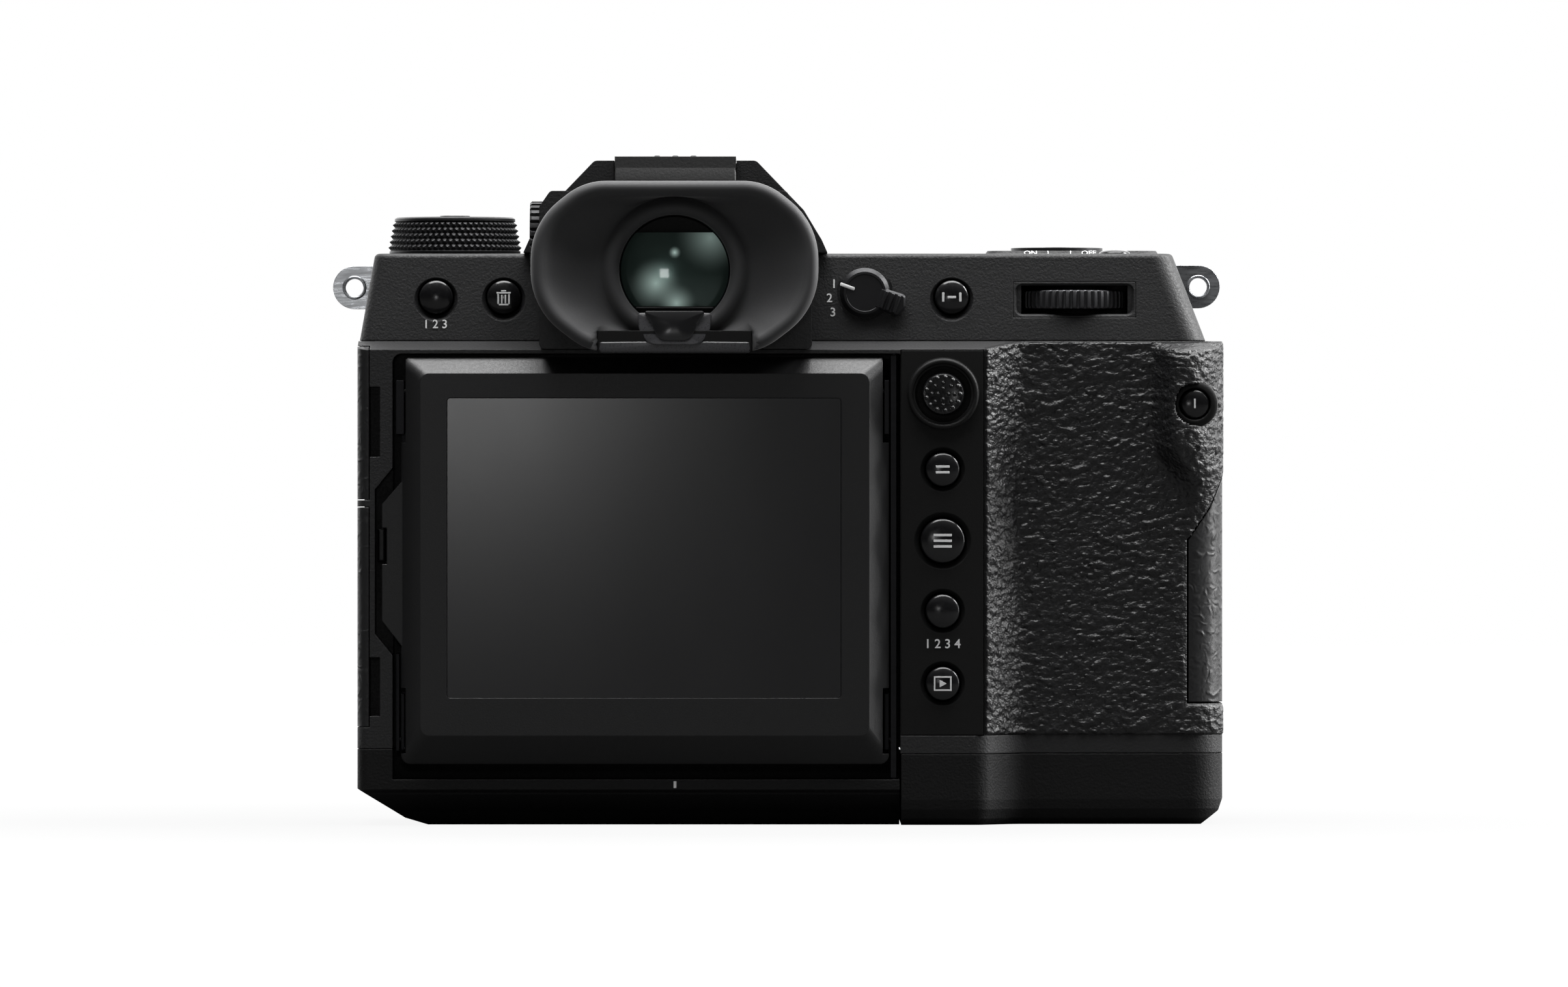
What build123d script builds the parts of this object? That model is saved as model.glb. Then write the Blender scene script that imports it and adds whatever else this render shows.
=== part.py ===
"""A medium format mirrorless camera body without a lens, as an assembly of separate pieces.

X runs to the right as seen from behind, Y towards the lens and Z up. The origin is the mouth of
the tripod socket, under the optical axis and in line with the sensor's face. Millimetres.
"""

from build123d import *
from math import cos, radians, sin
import os

os.makedirs("parts", exist_ok=True)

# Overall form
left_x = -55.7  # left side wall
grip_left_x = 58.0  # finger side of the grip
grip_width = 38.3
right_x = grip_left_x + grip_width  # side wall of the grip
back_y = -33.5  # back of the thick body block
front_y = 19.0  # front wall
grip_front_y = 51.2  # foremost face of the grip
grip_back_y = -25.5  # back of the grip, under the thumb
block_right_x = 54.2  # right edge of the thick block
step_width = 6.5  # the back steps in to the grip over this width
seam_z = 85.0  # seam between the body shells and the top cover
top_height = 15.3
deck_z = seam_z + top_height  # flat of the top cover
base_z = 13.3  # top of the left base cover
grip_base_z = 12.4  # top of the base under the grip
shell_split_y = 12.5  # rear shell meets front shell
base_split_x = 39.5  # left base meets grip base, in line with the screen well's edge
axis_z = 46.0  # optical axis above the base
flange_y = 26.7  # lens flange in front of the sensor's face
wall = 2.4  # shell walls
floor_thickness = 2.6  # bottom of the base covers
roof = 2.2  # rim that the shells turn in under the top cover
skin = 1.2  # rubber covering
seam_gap = 0.15  # gap at a seam between fixed pieces
clearance = 0.3  # gap round a moving piece
cut_over = 1.0  # how far a cut runs past a face

# Rounding of the plan outline, corner by corner
rear_corner_r = 2.0
step_r = 4.0
grip_rear_r = 6.0
grip_front_r = 14.0
grip_finger_r = 10.0
valley_r = 5.0
front_corner_r = 5.0


def block(x, y, z, mode=Mode.ADD):
    """A box between two planes on each axis."""
    with Locations(((x[0] + x[1]) / 2, (y[0] + y[1]) / 2, (z[0] + z[1]) / 2)):
        Box(x[1] - x[0], y[1] - y[0], z[1] - z[0], mode=mode)


def rod(radius, start, end, mode=Mode.ADD):
    """A cylinder between two points."""
    line = Vector(*end) - Vector(*start)
    with Locations(Plane(origin=start, z_dir=line).location):
        Cylinder(radius, line.length, align=(Align.CENTER, Align.CENTER, Align.MIN), mode=mode)


def cone(low_r, high_r, start, end, mode=Mode.ADD):
    """A cone frustum from its radius at one point to its radius at another."""
    line = Vector(*end) - Vector(*start)
    with Locations(Plane(origin=start, z_dir=line).location):
        Cone(low_r, high_r, line.length, align=(Align.CENTER, Align.CENTER, Align.MIN), mode=mode)


def outline(plane, points, radii, inset=0):
    """A face on a plane, with straight sides and rounded corners, drawn in by inset."""
    with BuildSketch(plane) as face:
        with BuildLine():
            FilletPolyline(*points, radius=radii, close=True)
        make_face()
        if inset:
            offset(amount=-inset, kind=Kind.INTERSECTION)
    return face.sketch


def prism(plane, points, radii, depth, mode=Mode.ADD, taper=0):
    """An outline extruded along its plane's normal."""
    extrude(outline(plane, points, radii), amount=depth, taper=taper, mode=mode)


def rear_plane(y):
    """The plane across the camera at y, facing back: X to the right, Z up."""
    return Plane.XZ.offset(-y)


def side_plane(x):
    """The plane along the camera at x, facing right: Y along, Z up."""
    return Plane.YZ.offset(x)


def corners(x, z):
    """The four corners of a rectangle."""
    return [(x[0], z[0]), (x[1], z[0]), (x[1], z[1]), (x[0], z[1])]


def placed(x, z, shares):
    """Points at shares of a rectangle's width and height."""
    return [(x[0] + (x[1] - x[0]) * u, z[0] + (z[1] - z[0]) * v) for u, v in shares]


plan_points = [
    (left_x, back_y),
    (block_right_x, back_y),
    (block_right_x + step_width, grip_back_y),
    (right_x, grip_back_y),
    (right_x, grip_front_y),
    (grip_left_x, grip_front_y),
    (grip_left_x, front_y),
    (left_x, front_y),
]
plan_radii = [
    rear_corner_r,
    step_r,
    step_r,
    grip_rear_r,
    grip_front_r,
    grip_finger_r,
    valley_r,
    front_corner_r,
]


def plan_block(z, inset=0, mode=Mode.ADD):
    """The camera's outline seen from above, drawn in by inset, between two heights."""
    extrude(outline(Plane.XY.offset(z[0]), plan_points, plan_radii, inset), amount=z[1] - z[0], mode=mode)


def save(piece, name):
    """Labels a finished piece and writes it to its own file."""
    piece.part.label = name
    export_step(piece.part, f"parts/{name}.step")


# Ledge that the rear shell carries between the block and the top cover
ledge_z = 83.3
top_rear_low_y = -24.5  # back of the top cover at the seam
top_rear_high_y = -22.5  # back of the top cover at the deck
ledge_slope = (seam_z - ledge_z) / (top_rear_low_y - back_y)


def cut_ledge():
    """The slope from the block's back up to the foot of the top cover."""
    prism(
        side_plane(left_x - cut_over),
        [
            (back_y - cut_over, ledge_z - cut_over * ledge_slope),
            (top_rear_low_y, seam_z),
            (back_y - cut_over, seam_z),
        ],
        0,
        right_x - left_x + 2 * cut_over,
        Mode.SUBTRACT,
    )


# Opening that the body shells leave under the top cover
roof_hole_x = (left_x + 2 * wall, right_x - 4 * wall)
roof_hole_back_y = top_rear_low_y + 2 * wall
roof_hole_front_y = front_y - 2 * wall
grip_hole_x = (grip_left_x + 3 * wall, right_x - 4 * wall)
grip_hole_front_y = grip_front_y - 5 * wall
grip_hole_r = 4.0


def cut_behind(y):
    """Takes away all that lies behind y."""
    block((left_x - cut_over, right_x + cut_over), (back_y - cut_over, y), (0, seam_z), Mode.SUBTRACT)


def cut_above_base():
    """Takes away what the left base cover fills."""
    block(
        (left_x - cut_over, base_split_x),
        (back_y - cut_over, grip_front_y),
        (0, base_z + seam_gap),
        Mode.SUBTRACT,
    )


# Screen well with its hinge holes, and the finger notch beside the screen
well_left_x = -49.5
well_bottom_z = 8.0
well_top_z = 82.6
well_floor_y = -23.5
well_floor_thickness = 1.5
well_corner_r = 1.6
well_inner_y = well_floor_y + well_floor_thickness
notch_left_x = -52.6
notch_z = (29.5, 62.8)
notch_run = 4.0  # height over which the notch narrows
notch_floor_y = -27.0
swing_inset = 1.1  # hinge line of the screen, in from the well's right edge
swing_x = base_split_x - swing_inset
swing_y = -32.0
swing_pin_r = 0.7
pin_fit = 0.1  # radial clearance of a pin in its hole
pin_seat = 0.5  # how far a hinge pin stands into its hole


def cut_well():
    """The recess that holds the screen."""
    prism(
        rear_plane(well_floor_y),
        corners((well_left_x, base_split_x), (well_bottom_z, well_top_z)),
        [0, 0, well_corner_r / 4, well_corner_r],
        well_floor_y - back_y + cut_over,
        Mode.SUBTRACT,
    )


# Doors on the left side, over the ports, with nail notches beside them
door_thickness = 2.2
door_front_y = 12.0
upper_door_z = (57.05, 83.85)
lower_door_z = (17.25, 55.65)
nail_depth = 1.8
nail_front_y = -29.0
upper_nail_z = (64.5, 76.8)
lower_nail_z = (19.1, 29.4)
tray_thickness = 1.4
tray_x = (left_x + door_thickness, left_x + door_thickness + tray_thickness)

# Ports behind the doors: width and height of each mouth, and its place as shares of its door
release_port = (3.2, 9.0)
picture_port = (2.8, 6.6)
sound_port = (3.4, 3.4)
data_port = (2.6, 8.4)
port_places = [
    (upper_door_z, (0.47, 0.63), release_port),
    (upper_door_z, (0.69, 0.63), picture_port),
    (lower_door_z, (0.47, 0.75), sound_port),
    (lower_door_z, (0.47, 0.44), sound_port),
    (lower_door_z, (0.69, 0.59), data_port),
]
port_mouths = [
    (*placed((back_y, door_front_y), door_z, [shares])[0], *mouth)
    for door_z, shares, mouth in port_places
]
port_wall = 0.8
port_board_x = -46.9
port_board_thickness = 1.4
port_board_y = (-20.0, 8.0)
port_board_z = (20.0, 81.0)

# Card door, which wraps the rear corner of the grip, and the rubber bump under the thumb
card_z = (21.5, 60.9)
card_back_width = 6.1
card_left_x = right_x - card_back_width
card_slant_shares = [(0, 0.72), (0.62, 0.86), (1, 1)]
card_front_y = 11.5
card_thickness = 1.9
thumb_width = 9.4
thumb_margin = 0.9
thumb_x = (right_x - thumb_margin - thumb_width, right_x - thumb_margin)
thumb_z = (63.0, 82.4)
thumb_shares = [(0, 0.05), (0.58, 0), (1, 0.1), (1, 0.85), (0.69, 1), (0, 1)]
thumb_points = placed(thumb_x, thumb_z, thumb_shares)
thumb_radii = [4.0, 3.0, 1.0, 1.0, 2.0, 2.0]
thumb_top_y = -28.8
thumb_taper = 40.0
quick_inset = 5.1
quick_x = right_x - quick_inset
quick_z = 73.8
quick_cap_r = 2.6
quick_ring_r = 3.8

# Button panel beside the screen
panel_bottom_z = 15.65
panel_thickness = 1.5
panel_rim = 1.35
panel_front_y = back_y + panel_thickness
panel_back_y = panel_front_y + panel_thickness

# Main board, carried on posts behind the screen well
board_y = -8.2
board_thickness = 1.4
board_x = (-44.5, 46.0)
board_z = (20.0, 80.0)
post_r = 2.0
post_inset = 4.0
post_xs = (board_x[0] + post_inset, board_x[1] - 3 * post_inset)
post_zs = (board_z[0] + post_inset, board_z[1] - post_inset)

# Rubber follows the outside of the shell, and the card door's hole is cut through both
covering_left_x = block_right_x + seam_gap
with BuildPart() as covering:
    plan_block((panel_bottom_z, seam_z - seam_gap))
    plan_block((0, seam_z), skin, Mode.SUBTRACT)
    cut_ledge()

with BuildPart() as rear_covering:
    add(covering.part)
    block(
        (left_x - cut_over, covering_left_x),
        (back_y - cut_over, grip_front_y),
        (0, seam_z),
        Mode.SUBTRACT,
    )
    block(
        (left_x, right_x + cut_over),
        (shell_split_y - seam_gap, grip_front_y + cut_over),
        (0, seam_z),
        Mode.SUBTRACT,
    )

with BuildPart() as front_covering:
    add(covering.part)
    cut_behind(shell_split_y + seam_gap)



def cut_card_corner(grown):
    """Cuts the slanted corner of the card door, or of its hole, which is grown all round."""
    slant = placed((card_left_x - grown, right_x), (card_z[0], card_z[1] + grown), card_slant_shares)
    prism(
        rear_plane(grip_back_y + grip_rear_r),
        [
            (card_left_x - cut_over, slant[0][1] - cut_over),
            *slant,
            (right_x, card_z[1] + 2 * cut_over),
            (card_left_x - cut_over, card_z[1] + 2 * cut_over),
        ],
        0,
        grip_rear_r + cut_over,
        Mode.SUBTRACT,
    )


with BuildPart() as door_hole:
    plan_block((card_z[0] - clearance, card_z[1] + clearance))
    plan_block((0, seam_z), wall + cut_over, Mode.SUBTRACT)
    block(
        (left_x - cut_over, card_left_x - clearance),
        (back_y - cut_over, grip_front_y + cut_over),
        (0, seam_z),
        Mode.SUBTRACT,
    )
    cut_card_corner(clearance)
    block(
        (left_x, right_x + cut_over),
        (card_front_y + clearance, grip_front_y + cut_over),
        (0, seam_z),
        Mode.SUBTRACT,
    )

# Rear shell, with the screen well, the ports' tray and the guide of the quick menu button
with BuildPart() as rear_cover:
    plan_block((grip_base_z + seam_gap, seam_z - seam_gap))
    plan_block((0, seam_z - roof), wall, Mode.SUBTRACT)
    block(roof_hole_x, (roof_hole_back_y, grip_front_y), (axis_z, seam_z), Mode.SUBTRACT)
    block((tray_x[0], base_split_x + wall), (back_y + cut_over, well_inner_y), (base_z, seam_z - roof))
    block((base_split_x, block_right_x), (back_y + cut_over, panel_back_y), (panel_bottom_z, seam_z - roof))
    block(tray_x, (back_y + wall, shell_split_y), (base_z, seam_z - roof))
    for x in post_xs:
        for z in post_zs:
            rod(post_r, (x, well_inner_y, z), (x, board_y, z))
    cut_above_base()
    cut_ledge()
    cut_well()
    prism(
        rear_plane(notch_floor_y),
        [
            (well_left_x + cut_over, notch_z[0] - cut_over),
            (notch_left_x, notch_z[0] + notch_run),
            (notch_left_x, notch_z[1] - notch_run),
            (well_left_x + cut_over, notch_z[1] + cut_over),
        ],
        0,
        notch_floor_y - back_y + cut_over,
        Mode.SUBTRACT,
    )
    rod(
        swing_pin_r + pin_fit,
        (swing_x, swing_y, well_top_z - cut_over),
        (swing_x, swing_y, well_top_z + pin_seat),
        Mode.SUBTRACT,
    )
    block(
        (base_split_x, block_right_x),
        (back_y - cut_over, panel_front_y),
        (panel_bottom_z, ledge_z),
        Mode.SUBTRACT,
    )
    block(
        (base_split_x + panel_rim, block_right_x - panel_rim),
        (panel_front_y - cut_over, panel_back_y + cut_over),
        (panel_bottom_z + panel_rim, ledge_z - wall),
        Mode.SUBTRACT,
    )
    for door_z, nail_z in ((upper_door_z, upper_nail_z), (lower_door_z, lower_nail_z)):
        block(
            (left_x - cut_over, tray_x[0]),
            (back_y - cut_over, door_front_y + clearance),
            (door_z[0] - seam_gap, door_z[1] + seam_gap),
            Mode.SUBTRACT,
        )
        block((left_x, tray_x[0] + nail_depth), (back_y - cut_over, nail_front_y), nail_z, Mode.SUBTRACT)
    for y, z, wide, tall in port_mouths:
        half_y = wide / 2 + port_wall + seam_gap
        half_z = tall / 2 + port_wall + seam_gap
        block(
            (left_x, tray_x[1] + cut_over),
            (y - half_y, y + half_y),
            (z - half_z, z + half_z),
            Mode.SUBTRACT,
        )
    split(bisect_by=rear_plane(shell_split_y), keep=Keep.TOP)
    add(rear_covering.part, mode=Mode.SUBTRACT)
    add(door_hole.part, mode=Mode.SUBTRACT)
    rod(quick_ring_r, (quick_x, grip_back_y + wall, quick_z), (quick_x, thumb_top_y + clearance, quick_z))
    rod(
        quick_cap_r + clearance,
        (quick_x, thumb_top_y, quick_z),
        (quick_x, grip_back_y + grip_rear_r, quick_z),
        Mode.SUBTRACT,
    )
save(rear_cover, "rear_cover")

# Lens mount ring, seated through the front wall and held by screws
collar_r = 39.0
collar_front_y = 25.4
ring_r = 36.0
ring_back_y = front_y - wall
bore_r = 32.5
throat_r = 31.6
mount_bore_depth = 5.0
bayonet_r = 33.9
bayonet_depth = 3.0
bayonet_slot_width = 14.0
bayonet_slots = 3
ring_screws = 6
ring_screw_r = 1.3
ring_screw_depth = 1.6
ring_screw_circle_r = (bore_r + ring_r) / 2
release_x = -44.5
release_z = 42.0
release_r = 4.2

with BuildPart() as front_cover:
    plan_block((grip_base_z + seam_gap, seam_z - seam_gap))
    plan_block((0, seam_z - roof), wall, Mode.SUBTRACT)
    block(roof_hole_x, (back_y, roof_hole_front_y), (axis_z, seam_z), Mode.SUBTRACT)
    extrude(
        outline(
            Plane.XY.offset(axis_z),
            corners(grip_hole_x, (front_y - 2 * wall, grip_hole_front_y)),
            [0, 0, grip_hole_r, grip_hole_r],
        ),
        amount=seam_z - axis_z,
        mode=Mode.SUBTRACT,
    )
    cut_above_base()
    cut_behind(shell_split_y + seam_gap)
    add(front_covering.part, mode=Mode.SUBTRACT)
    rod(collar_r, (0, front_y - skin, axis_z), (0, front_y, axis_z))
    block((left_x, right_x), (shell_split_y, front_y), (0, base_z + seam_gap), Mode.SUBTRACT)
    rod(collar_r, (0, front_y, axis_z), (0, collar_front_y, axis_z))
    rod(ring_r + seam_gap, (0, shell_split_y, axis_z), (0, flange_y, axis_z), Mode.SUBTRACT)
    rod(
        release_r + clearance,
        (release_x, shell_split_y, release_z),
        (release_x, flange_y, release_z),
        Mode.SUBTRACT,
    )
save(front_cover, "front_cover")

with BuildPart() as grip_rubbers:
    add(rear_covering.part)
    prism(
        rear_plane(grip_back_y + skin / 2),
        thumb_points,
        thumb_radii,
        grip_back_y - thumb_top_y,
        Mode.ADD,
        thumb_taper,
    )
    add(door_hole.part, mode=Mode.SUBTRACT)
    rod(
        quick_ring_r,
        (quick_x, back_y, quick_z),
        (quick_x, grip_back_y + grip_rear_r, quick_z),
        Mode.SUBTRACT,
    )
    add(front_covering.part)
    rod(collar_r + seam_gap, (0, shell_split_y, axis_z), (0, flange_y, axis_z), Mode.SUBTRACT)
    rod(
        release_r + 2 * clearance,
        (release_x, shell_split_y, release_z),
        (release_x, flange_y, release_z),
        Mode.SUBTRACT,
    )
save(grip_rubbers, "grip_rubbers")

with BuildPart() as lens_mount_ring:
    rod(ring_r, (0, ring_back_y, axis_z), (0, flange_y, axis_z))
    rod(throat_r, (0, ring_back_y - cut_over, axis_z), (0, flange_y, axis_z), Mode.SUBTRACT)
    rod(bore_r, (0, flange_y - mount_bore_depth, axis_z), (0, flange_y + cut_over, axis_z), Mode.SUBTRACT)
    bayonet_plane = Plane(origin=(0, flange_y - bayonet_depth, axis_z), x_dir=(1, 0, 0), z_dir=(0, 1, 0))
    with Locations(bayonet_plane.location):
        with PolarLocations(0, bayonet_slots):
            Box(
                bayonet_r,
                bayonet_slot_width,
                bayonet_depth + cut_over,
                align=(Align.MIN, Align.CENTER, Align.MIN),
                mode=Mode.SUBTRACT,
            )
    for turn in range(ring_screws):
        angle = radians(360 / ring_screws * (turn + 0.5))
        x = ring_screw_circle_r * cos(angle)
        z = axis_z + ring_screw_circle_r * sin(angle)
        rod(ring_screw_r, (x, flange_y - ring_screw_depth, z), (x, flange_y + cut_over, z), Mode.SUBTRACT)
save(lens_mount_ring, "lens_mount_ring")

# Chassis: front plate behind the mount, light box, cheeks beside the shutter and the sensor's rail plate
chassis_x = (-39.0, 52.0)
chassis_z = (15.5, 81.0)
chassis_plate = 2.5
light_box_half = (23.2, 17.7)  # inside, from the axis along X and Z
light_box_wall = 1.8
shutter_front_y = 8.0
shutter_back_y = 4.2
shutter_half_x = 29.3
cheek_thickness = 2.5
cheek_half_z = 26.0
rail_y = (-1.3, 1.0)
rail_half = (36.0, 29.0)
sensor_half = (25.0, 20.0)  # sensor package
sensor_travel = 1.5
chassis_back_y = ring_back_y - chassis_plate
cheek_x = shutter_half_x + seam_gap
with BuildPart() as chassis:
    block(chassis_x, (chassis_back_y, ring_back_y - seam_gap), chassis_z)
    lb_x = light_box_half[0]
    lb_z = light_box_half[1]
    block(
        (-lb_x - light_box_wall, lb_x + light_box_wall),
        (shutter_front_y + seam_gap, chassis_back_y),
        (axis_z - lb_z - light_box_wall, axis_z + lb_z + light_box_wall),
    )
    for side in (-1, 1):
        near = side * cheek_x
        far = side * (cheek_x + cheek_thickness)
        block(
            (min(near, far), max(near, far)),
            (rail_y[1], chassis_back_y),
            (axis_z - cheek_half_z, axis_z + cheek_half_z),
        )
    block((-rail_half[0], rail_half[0]), rail_y, (axis_z - rail_half[1], axis_z + rail_half[1]))
    block(
        (-sensor_half[0] - sensor_travel - 2 * clearance, sensor_half[0] + sensor_travel + 2 * clearance),
        (rail_y[0] - cut_over, rail_y[1] + cut_over),
        (
            axis_z - sensor_half[1] - sensor_travel - clearance,
            axis_z + sensor_half[1] + sensor_travel + clearance,
        ),
        Mode.SUBTRACT,
    )
    block((-lb_x, lb_x), (rail_y[1] + cut_over, front_y), (axis_z - lb_z, axis_z + lb_z), Mode.SUBTRACT)
save(chassis, "chassis")

# Contact block at the foot of the mount's throat
contact_half_x = 9.0
contact_z = (17.2, 21.2)
contact_depth = 4.4
contact_pins = 12
contact_pin_r = 0.45
contact_pin_proud = 0.4
with BuildPart() as lens_contacts:
    block(
        (-contact_half_x, contact_half_x),
        (ring_back_y - seam_gap, ring_back_y + contact_depth),
        contact_z,
    )
    pitch = 2 * contact_half_x / contact_pins
    for turn in range(contact_pins):
        x = -contact_half_x + pitch * (turn + 0.5)
        z = (contact_z[0] + contact_z[1]) / 2
        y = ring_back_y + contact_depth
        rod(contact_pin_r, (x, y, z), (x, y + contact_pin_proud, z))
save(lens_contacts, "lens_contacts")

# Focal plane shutter: a frame with two leaves that park below the gate
gate_half = (23.0, 17.5)
leaf_half_x = 24.3
leaf_height = 18.2
leaf_thickness = 0.4
leaf_parked_z = 10.1
leaf_travel = 35.6
leaf_1_y = 6.3
leaf_2_y = 5.5
shutter_bottom_z = 9.4
shutter_top_z = 68.0
leaf_slot_x = leaf_half_x + clearance
leaf_slot_y = (leaf_2_y - clearance, leaf_1_y + leaf_thickness + clearance)
leaf_top_z = leaf_parked_z + leaf_height
with BuildPart() as shutter_frame:
    block(
        (-shutter_half_x, shutter_half_x),
        (shutter_back_y, shutter_front_y),
        (shutter_bottom_z, shutter_top_z),
    )
    block(
        (-leaf_slot_x, leaf_slot_x),
        leaf_slot_y,
        (leaf_parked_z - clearance, leaf_top_z + leaf_travel + clearance),
        Mode.SUBTRACT,
    )
    block(
        (-gate_half[0], gate_half[0]),
        (shutter_back_y - cut_over, shutter_front_y + cut_over),
        (axis_z - gate_half[1], axis_z + gate_half[1]),
        Mode.SUBTRACT,
    )
save(shutter_frame, "shutter_frame")

for name, y in (("shutter_leaf_1", leaf_1_y), ("shutter_leaf_2", leaf_2_y)):
    with BuildPart() as shutter_leaf:
        block((-leaf_half_x, leaf_half_x), (y, y + leaf_thickness), (leaf_parked_z, leaf_top_z))
    save(shutter_leaf, name)

# Stabilised sensor: a carriage that slides sideways and a sensor that slides up and down in it
carriage_thickness = 2.0
carriage_half = (33.0, 27.0)
sensor_plate_half = (29.0, 24.0)
sensor_plate_thickness = 1.5
carriage_front_y = rail_y[0] - clearance
carriage_back_y = carriage_front_y - carriage_thickness
with BuildPart() as sensor_carriage:
    block(
        (-carriage_half[0], carriage_half[0]),
        (carriage_back_y, carriage_front_y),
        (axis_z - carriage_half[1], axis_z + carriage_half[1]),
    )
    block(
        (-sensor_half[0] - clearance, sensor_half[0] + clearance),
        (carriage_back_y - cut_over, carriage_front_y + cut_over),
        (
            axis_z - sensor_half[1] - sensor_travel - clearance,
            axis_z + sensor_half[1] + sensor_travel + clearance,
        ),
        Mode.SUBTRACT,
    )
save(sensor_carriage, "sensor_carriage")

with BuildPart() as image_sensor:
    plate_front_y = carriage_back_y - clearance
    block(
        (-sensor_half[0], sensor_half[0]),
        (plate_front_y, 0),
        (axis_z - sensor_half[1], axis_z + sensor_half[1]),
    )
    block(
        (-sensor_plate_half[0], sensor_plate_half[0]),
        (plate_front_y - sensor_plate_thickness, plate_front_y),
        (axis_z - sensor_plate_half[1], axis_z + sensor_plate_half[1]),
    )
save(image_sensor, "image_sensor")

# Main board with its chips, and the cage that takes two memory cards
board_arm_inset = 7.3
board_arm_x = right_x - board_arm_inset
board_arm_z = (22.0, 60.0)
cage_width = 26.7
cage_x = (board_arm_x - clearance - cage_width, board_arm_x - clearance)
cage_depth = 11.3
cage_z = (24.5, 58.0)
card_slot_width = 24.4
card_slot_thickness = 2.5
card_slots = 2
cage_wall = 1.3
chip_size = 14.0
chip_height = 1.6
chip_shares = [(0.25, 0.53), (0.51, 0.53), (0.25, 0.17)]
chip_places = placed(board_x, board_z, chip_shares)
with BuildPart() as main_board:
    block(board_x, (board_y, board_y + board_thickness), board_z)
    block((board_x[1], board_arm_x), (board_y, board_y + board_thickness), board_arm_z)
    for x, z in chip_places:
        block((x, x + chip_size), (board_y - chip_height, board_y), (z, z + chip_size))
    block(cage_x, (board_y - cage_depth, board_y), cage_z)
    slot_pitch = cage_depth / card_slots
    cage_mid_z = (cage_z[0] + cage_z[1]) / 2
    for turn in range(card_slots):
        y = board_y - slot_pitch * (turn + 0.5)
        block(
            (cage_x[0] + cage_wall, cage_x[1] + cut_over),
            (y - card_slot_thickness / 2, y + card_slot_thickness / 2),
            (cage_mid_z - card_slot_width / 2, cage_mid_z + card_slot_width / 2),
            Mode.SUBTRACT,
        )
save(main_board, "main_board")

# Ports behind the left doors, on their own board
with BuildPart() as port_sockets:
    block((port_board_x, port_board_x + port_board_thickness), port_board_y, port_board_z)
    for y, z, wide, tall in port_mouths:
        half_y = wide / 2 + port_wall
        half_z = tall / 2 + port_wall
        block((tray_x[0] + seam_gap, port_board_x), (y - half_y, y + half_y), (z - half_z, z + half_z))
    for y, z, wide, tall in port_mouths:
        block(
            (left_x, port_board_x - port_wall),
            (y - wide / 2, y + wide / 2),
            (z - tall / 2, z + tall / 2),
            Mode.SUBTRACT,
        )
save(port_sockets, "port_sockets")

# Doors on the left side: their front edge is rounded about the hinge line
door_hinge_y = door_front_y - door_thickness / 2
for name, door_z in (("port_door_upper", upper_door_z), ("port_door_lower", lower_door_z)):
    with BuildPart() as port_door:
        plan_block(door_z)
        block(
            (tray_x[0] - seam_gap, right_x + cut_over),
            (back_y - cut_over, grip_front_y + cut_over),
            (0, seam_z),
            Mode.SUBTRACT,
        )
        block((left_x - cut_over, right_x), (door_hinge_y, grip_front_y), (0, seam_z), Mode.SUBTRACT)
        cut_ledge()
        end_r = (door_thickness - seam_gap) / 2
        rod(end_r, (left_x + end_r, door_hinge_y, door_z[0]), (left_x + end_r, door_hinge_y, door_z[1]))
    save(port_door, name)

with BuildPart() as card_door:
    plan_block(card_z)
    plan_block((0, seam_z), card_thickness, Mode.SUBTRACT)
    block(
        (left_x - cut_over, card_left_x),
        (back_y - cut_over, grip_front_y + cut_over),
        (0, seam_z),
        Mode.SUBTRACT,
    )
    cut_card_corner(0)
    card_hinge_y = card_front_y - card_thickness / 2
    card_hinge_x = right_x - card_thickness / 2
    block((left_x, right_x + cut_over), (card_hinge_y, grip_front_y + cut_over), (0, seam_z), Mode.SUBTRACT)
    rod(
        card_thickness / 2,
        (card_hinge_x, card_hinge_y, card_z[0]),
        (card_hinge_x, card_hinge_y, card_z[1]),
    )
save(card_door, "card_door")

# Battery, its door under the grip and the door's latch
battery_width = 22.8
battery_inset = 6.5
battery_x = (right_x - battery_inset - battery_width, right_x - battery_inset)
battery_y = (5.0, 43.6)
battery_z = (3.0, 55.3)
battery_edge_r = 2.0
battery_floor = 4.0
battery_door_margin = 1.0
battery_hinge_margin = 3.0
battery_door_x = (battery_x[0] - battery_hinge_margin, battery_x[1] + battery_door_margin)
battery_door_y = (2.0, 45.0)
battery_door_thickness = 1.8
battery_door_edge_r = 0.2
battery_hinge_r = 0.45
battery_hinge_reach = 1.2
latch_overlap = 3.4
latch_reach = 1.0
latch_x = (battery_door_x[1] - latch_overlap, battery_door_x[1] + latch_reach)
latch_y = (20.5, 27.5)
latch_thickness = 0.9
latch_travel = 1.5
battery_end_r = battery_door_thickness / 2
battery_edge_share = 0.98
with BuildPart() as battery:
    block(battery_x, battery_y, battery_z)
    fillet(battery.edges().filter_by(Axis.Z), battery_edge_r)
save(battery, "battery")

with BuildPart() as battery_door:
    prism(
        rear_plane(battery_door_y[1]),
        corners(battery_door_x, (0, battery_door_thickness)),
        [
            battery_edge_share * battery_end_r,
            battery_door_edge_r,
            battery_door_edge_r,
            battery_edge_share * battery_end_r,
        ],
        battery_door_y[1] - battery_door_y[0],
    )
    hinge_x = battery_door_x[0] + battery_end_r
    rod(
        battery_hinge_r,
        (hinge_x, battery_door_y[0] - battery_hinge_reach, battery_end_r),
        (hinge_x, battery_door_y[1] + battery_hinge_reach, battery_end_r),
    )
    block(
        (latch_x[0] - latch_travel - clearance, right_x),
        (latch_y[0] - clearance, latch_y[1] + clearance),
        (-cut_over, latch_thickness + clearance),
        Mode.SUBTRACT,
    )
save(battery_door, "battery_door")

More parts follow.
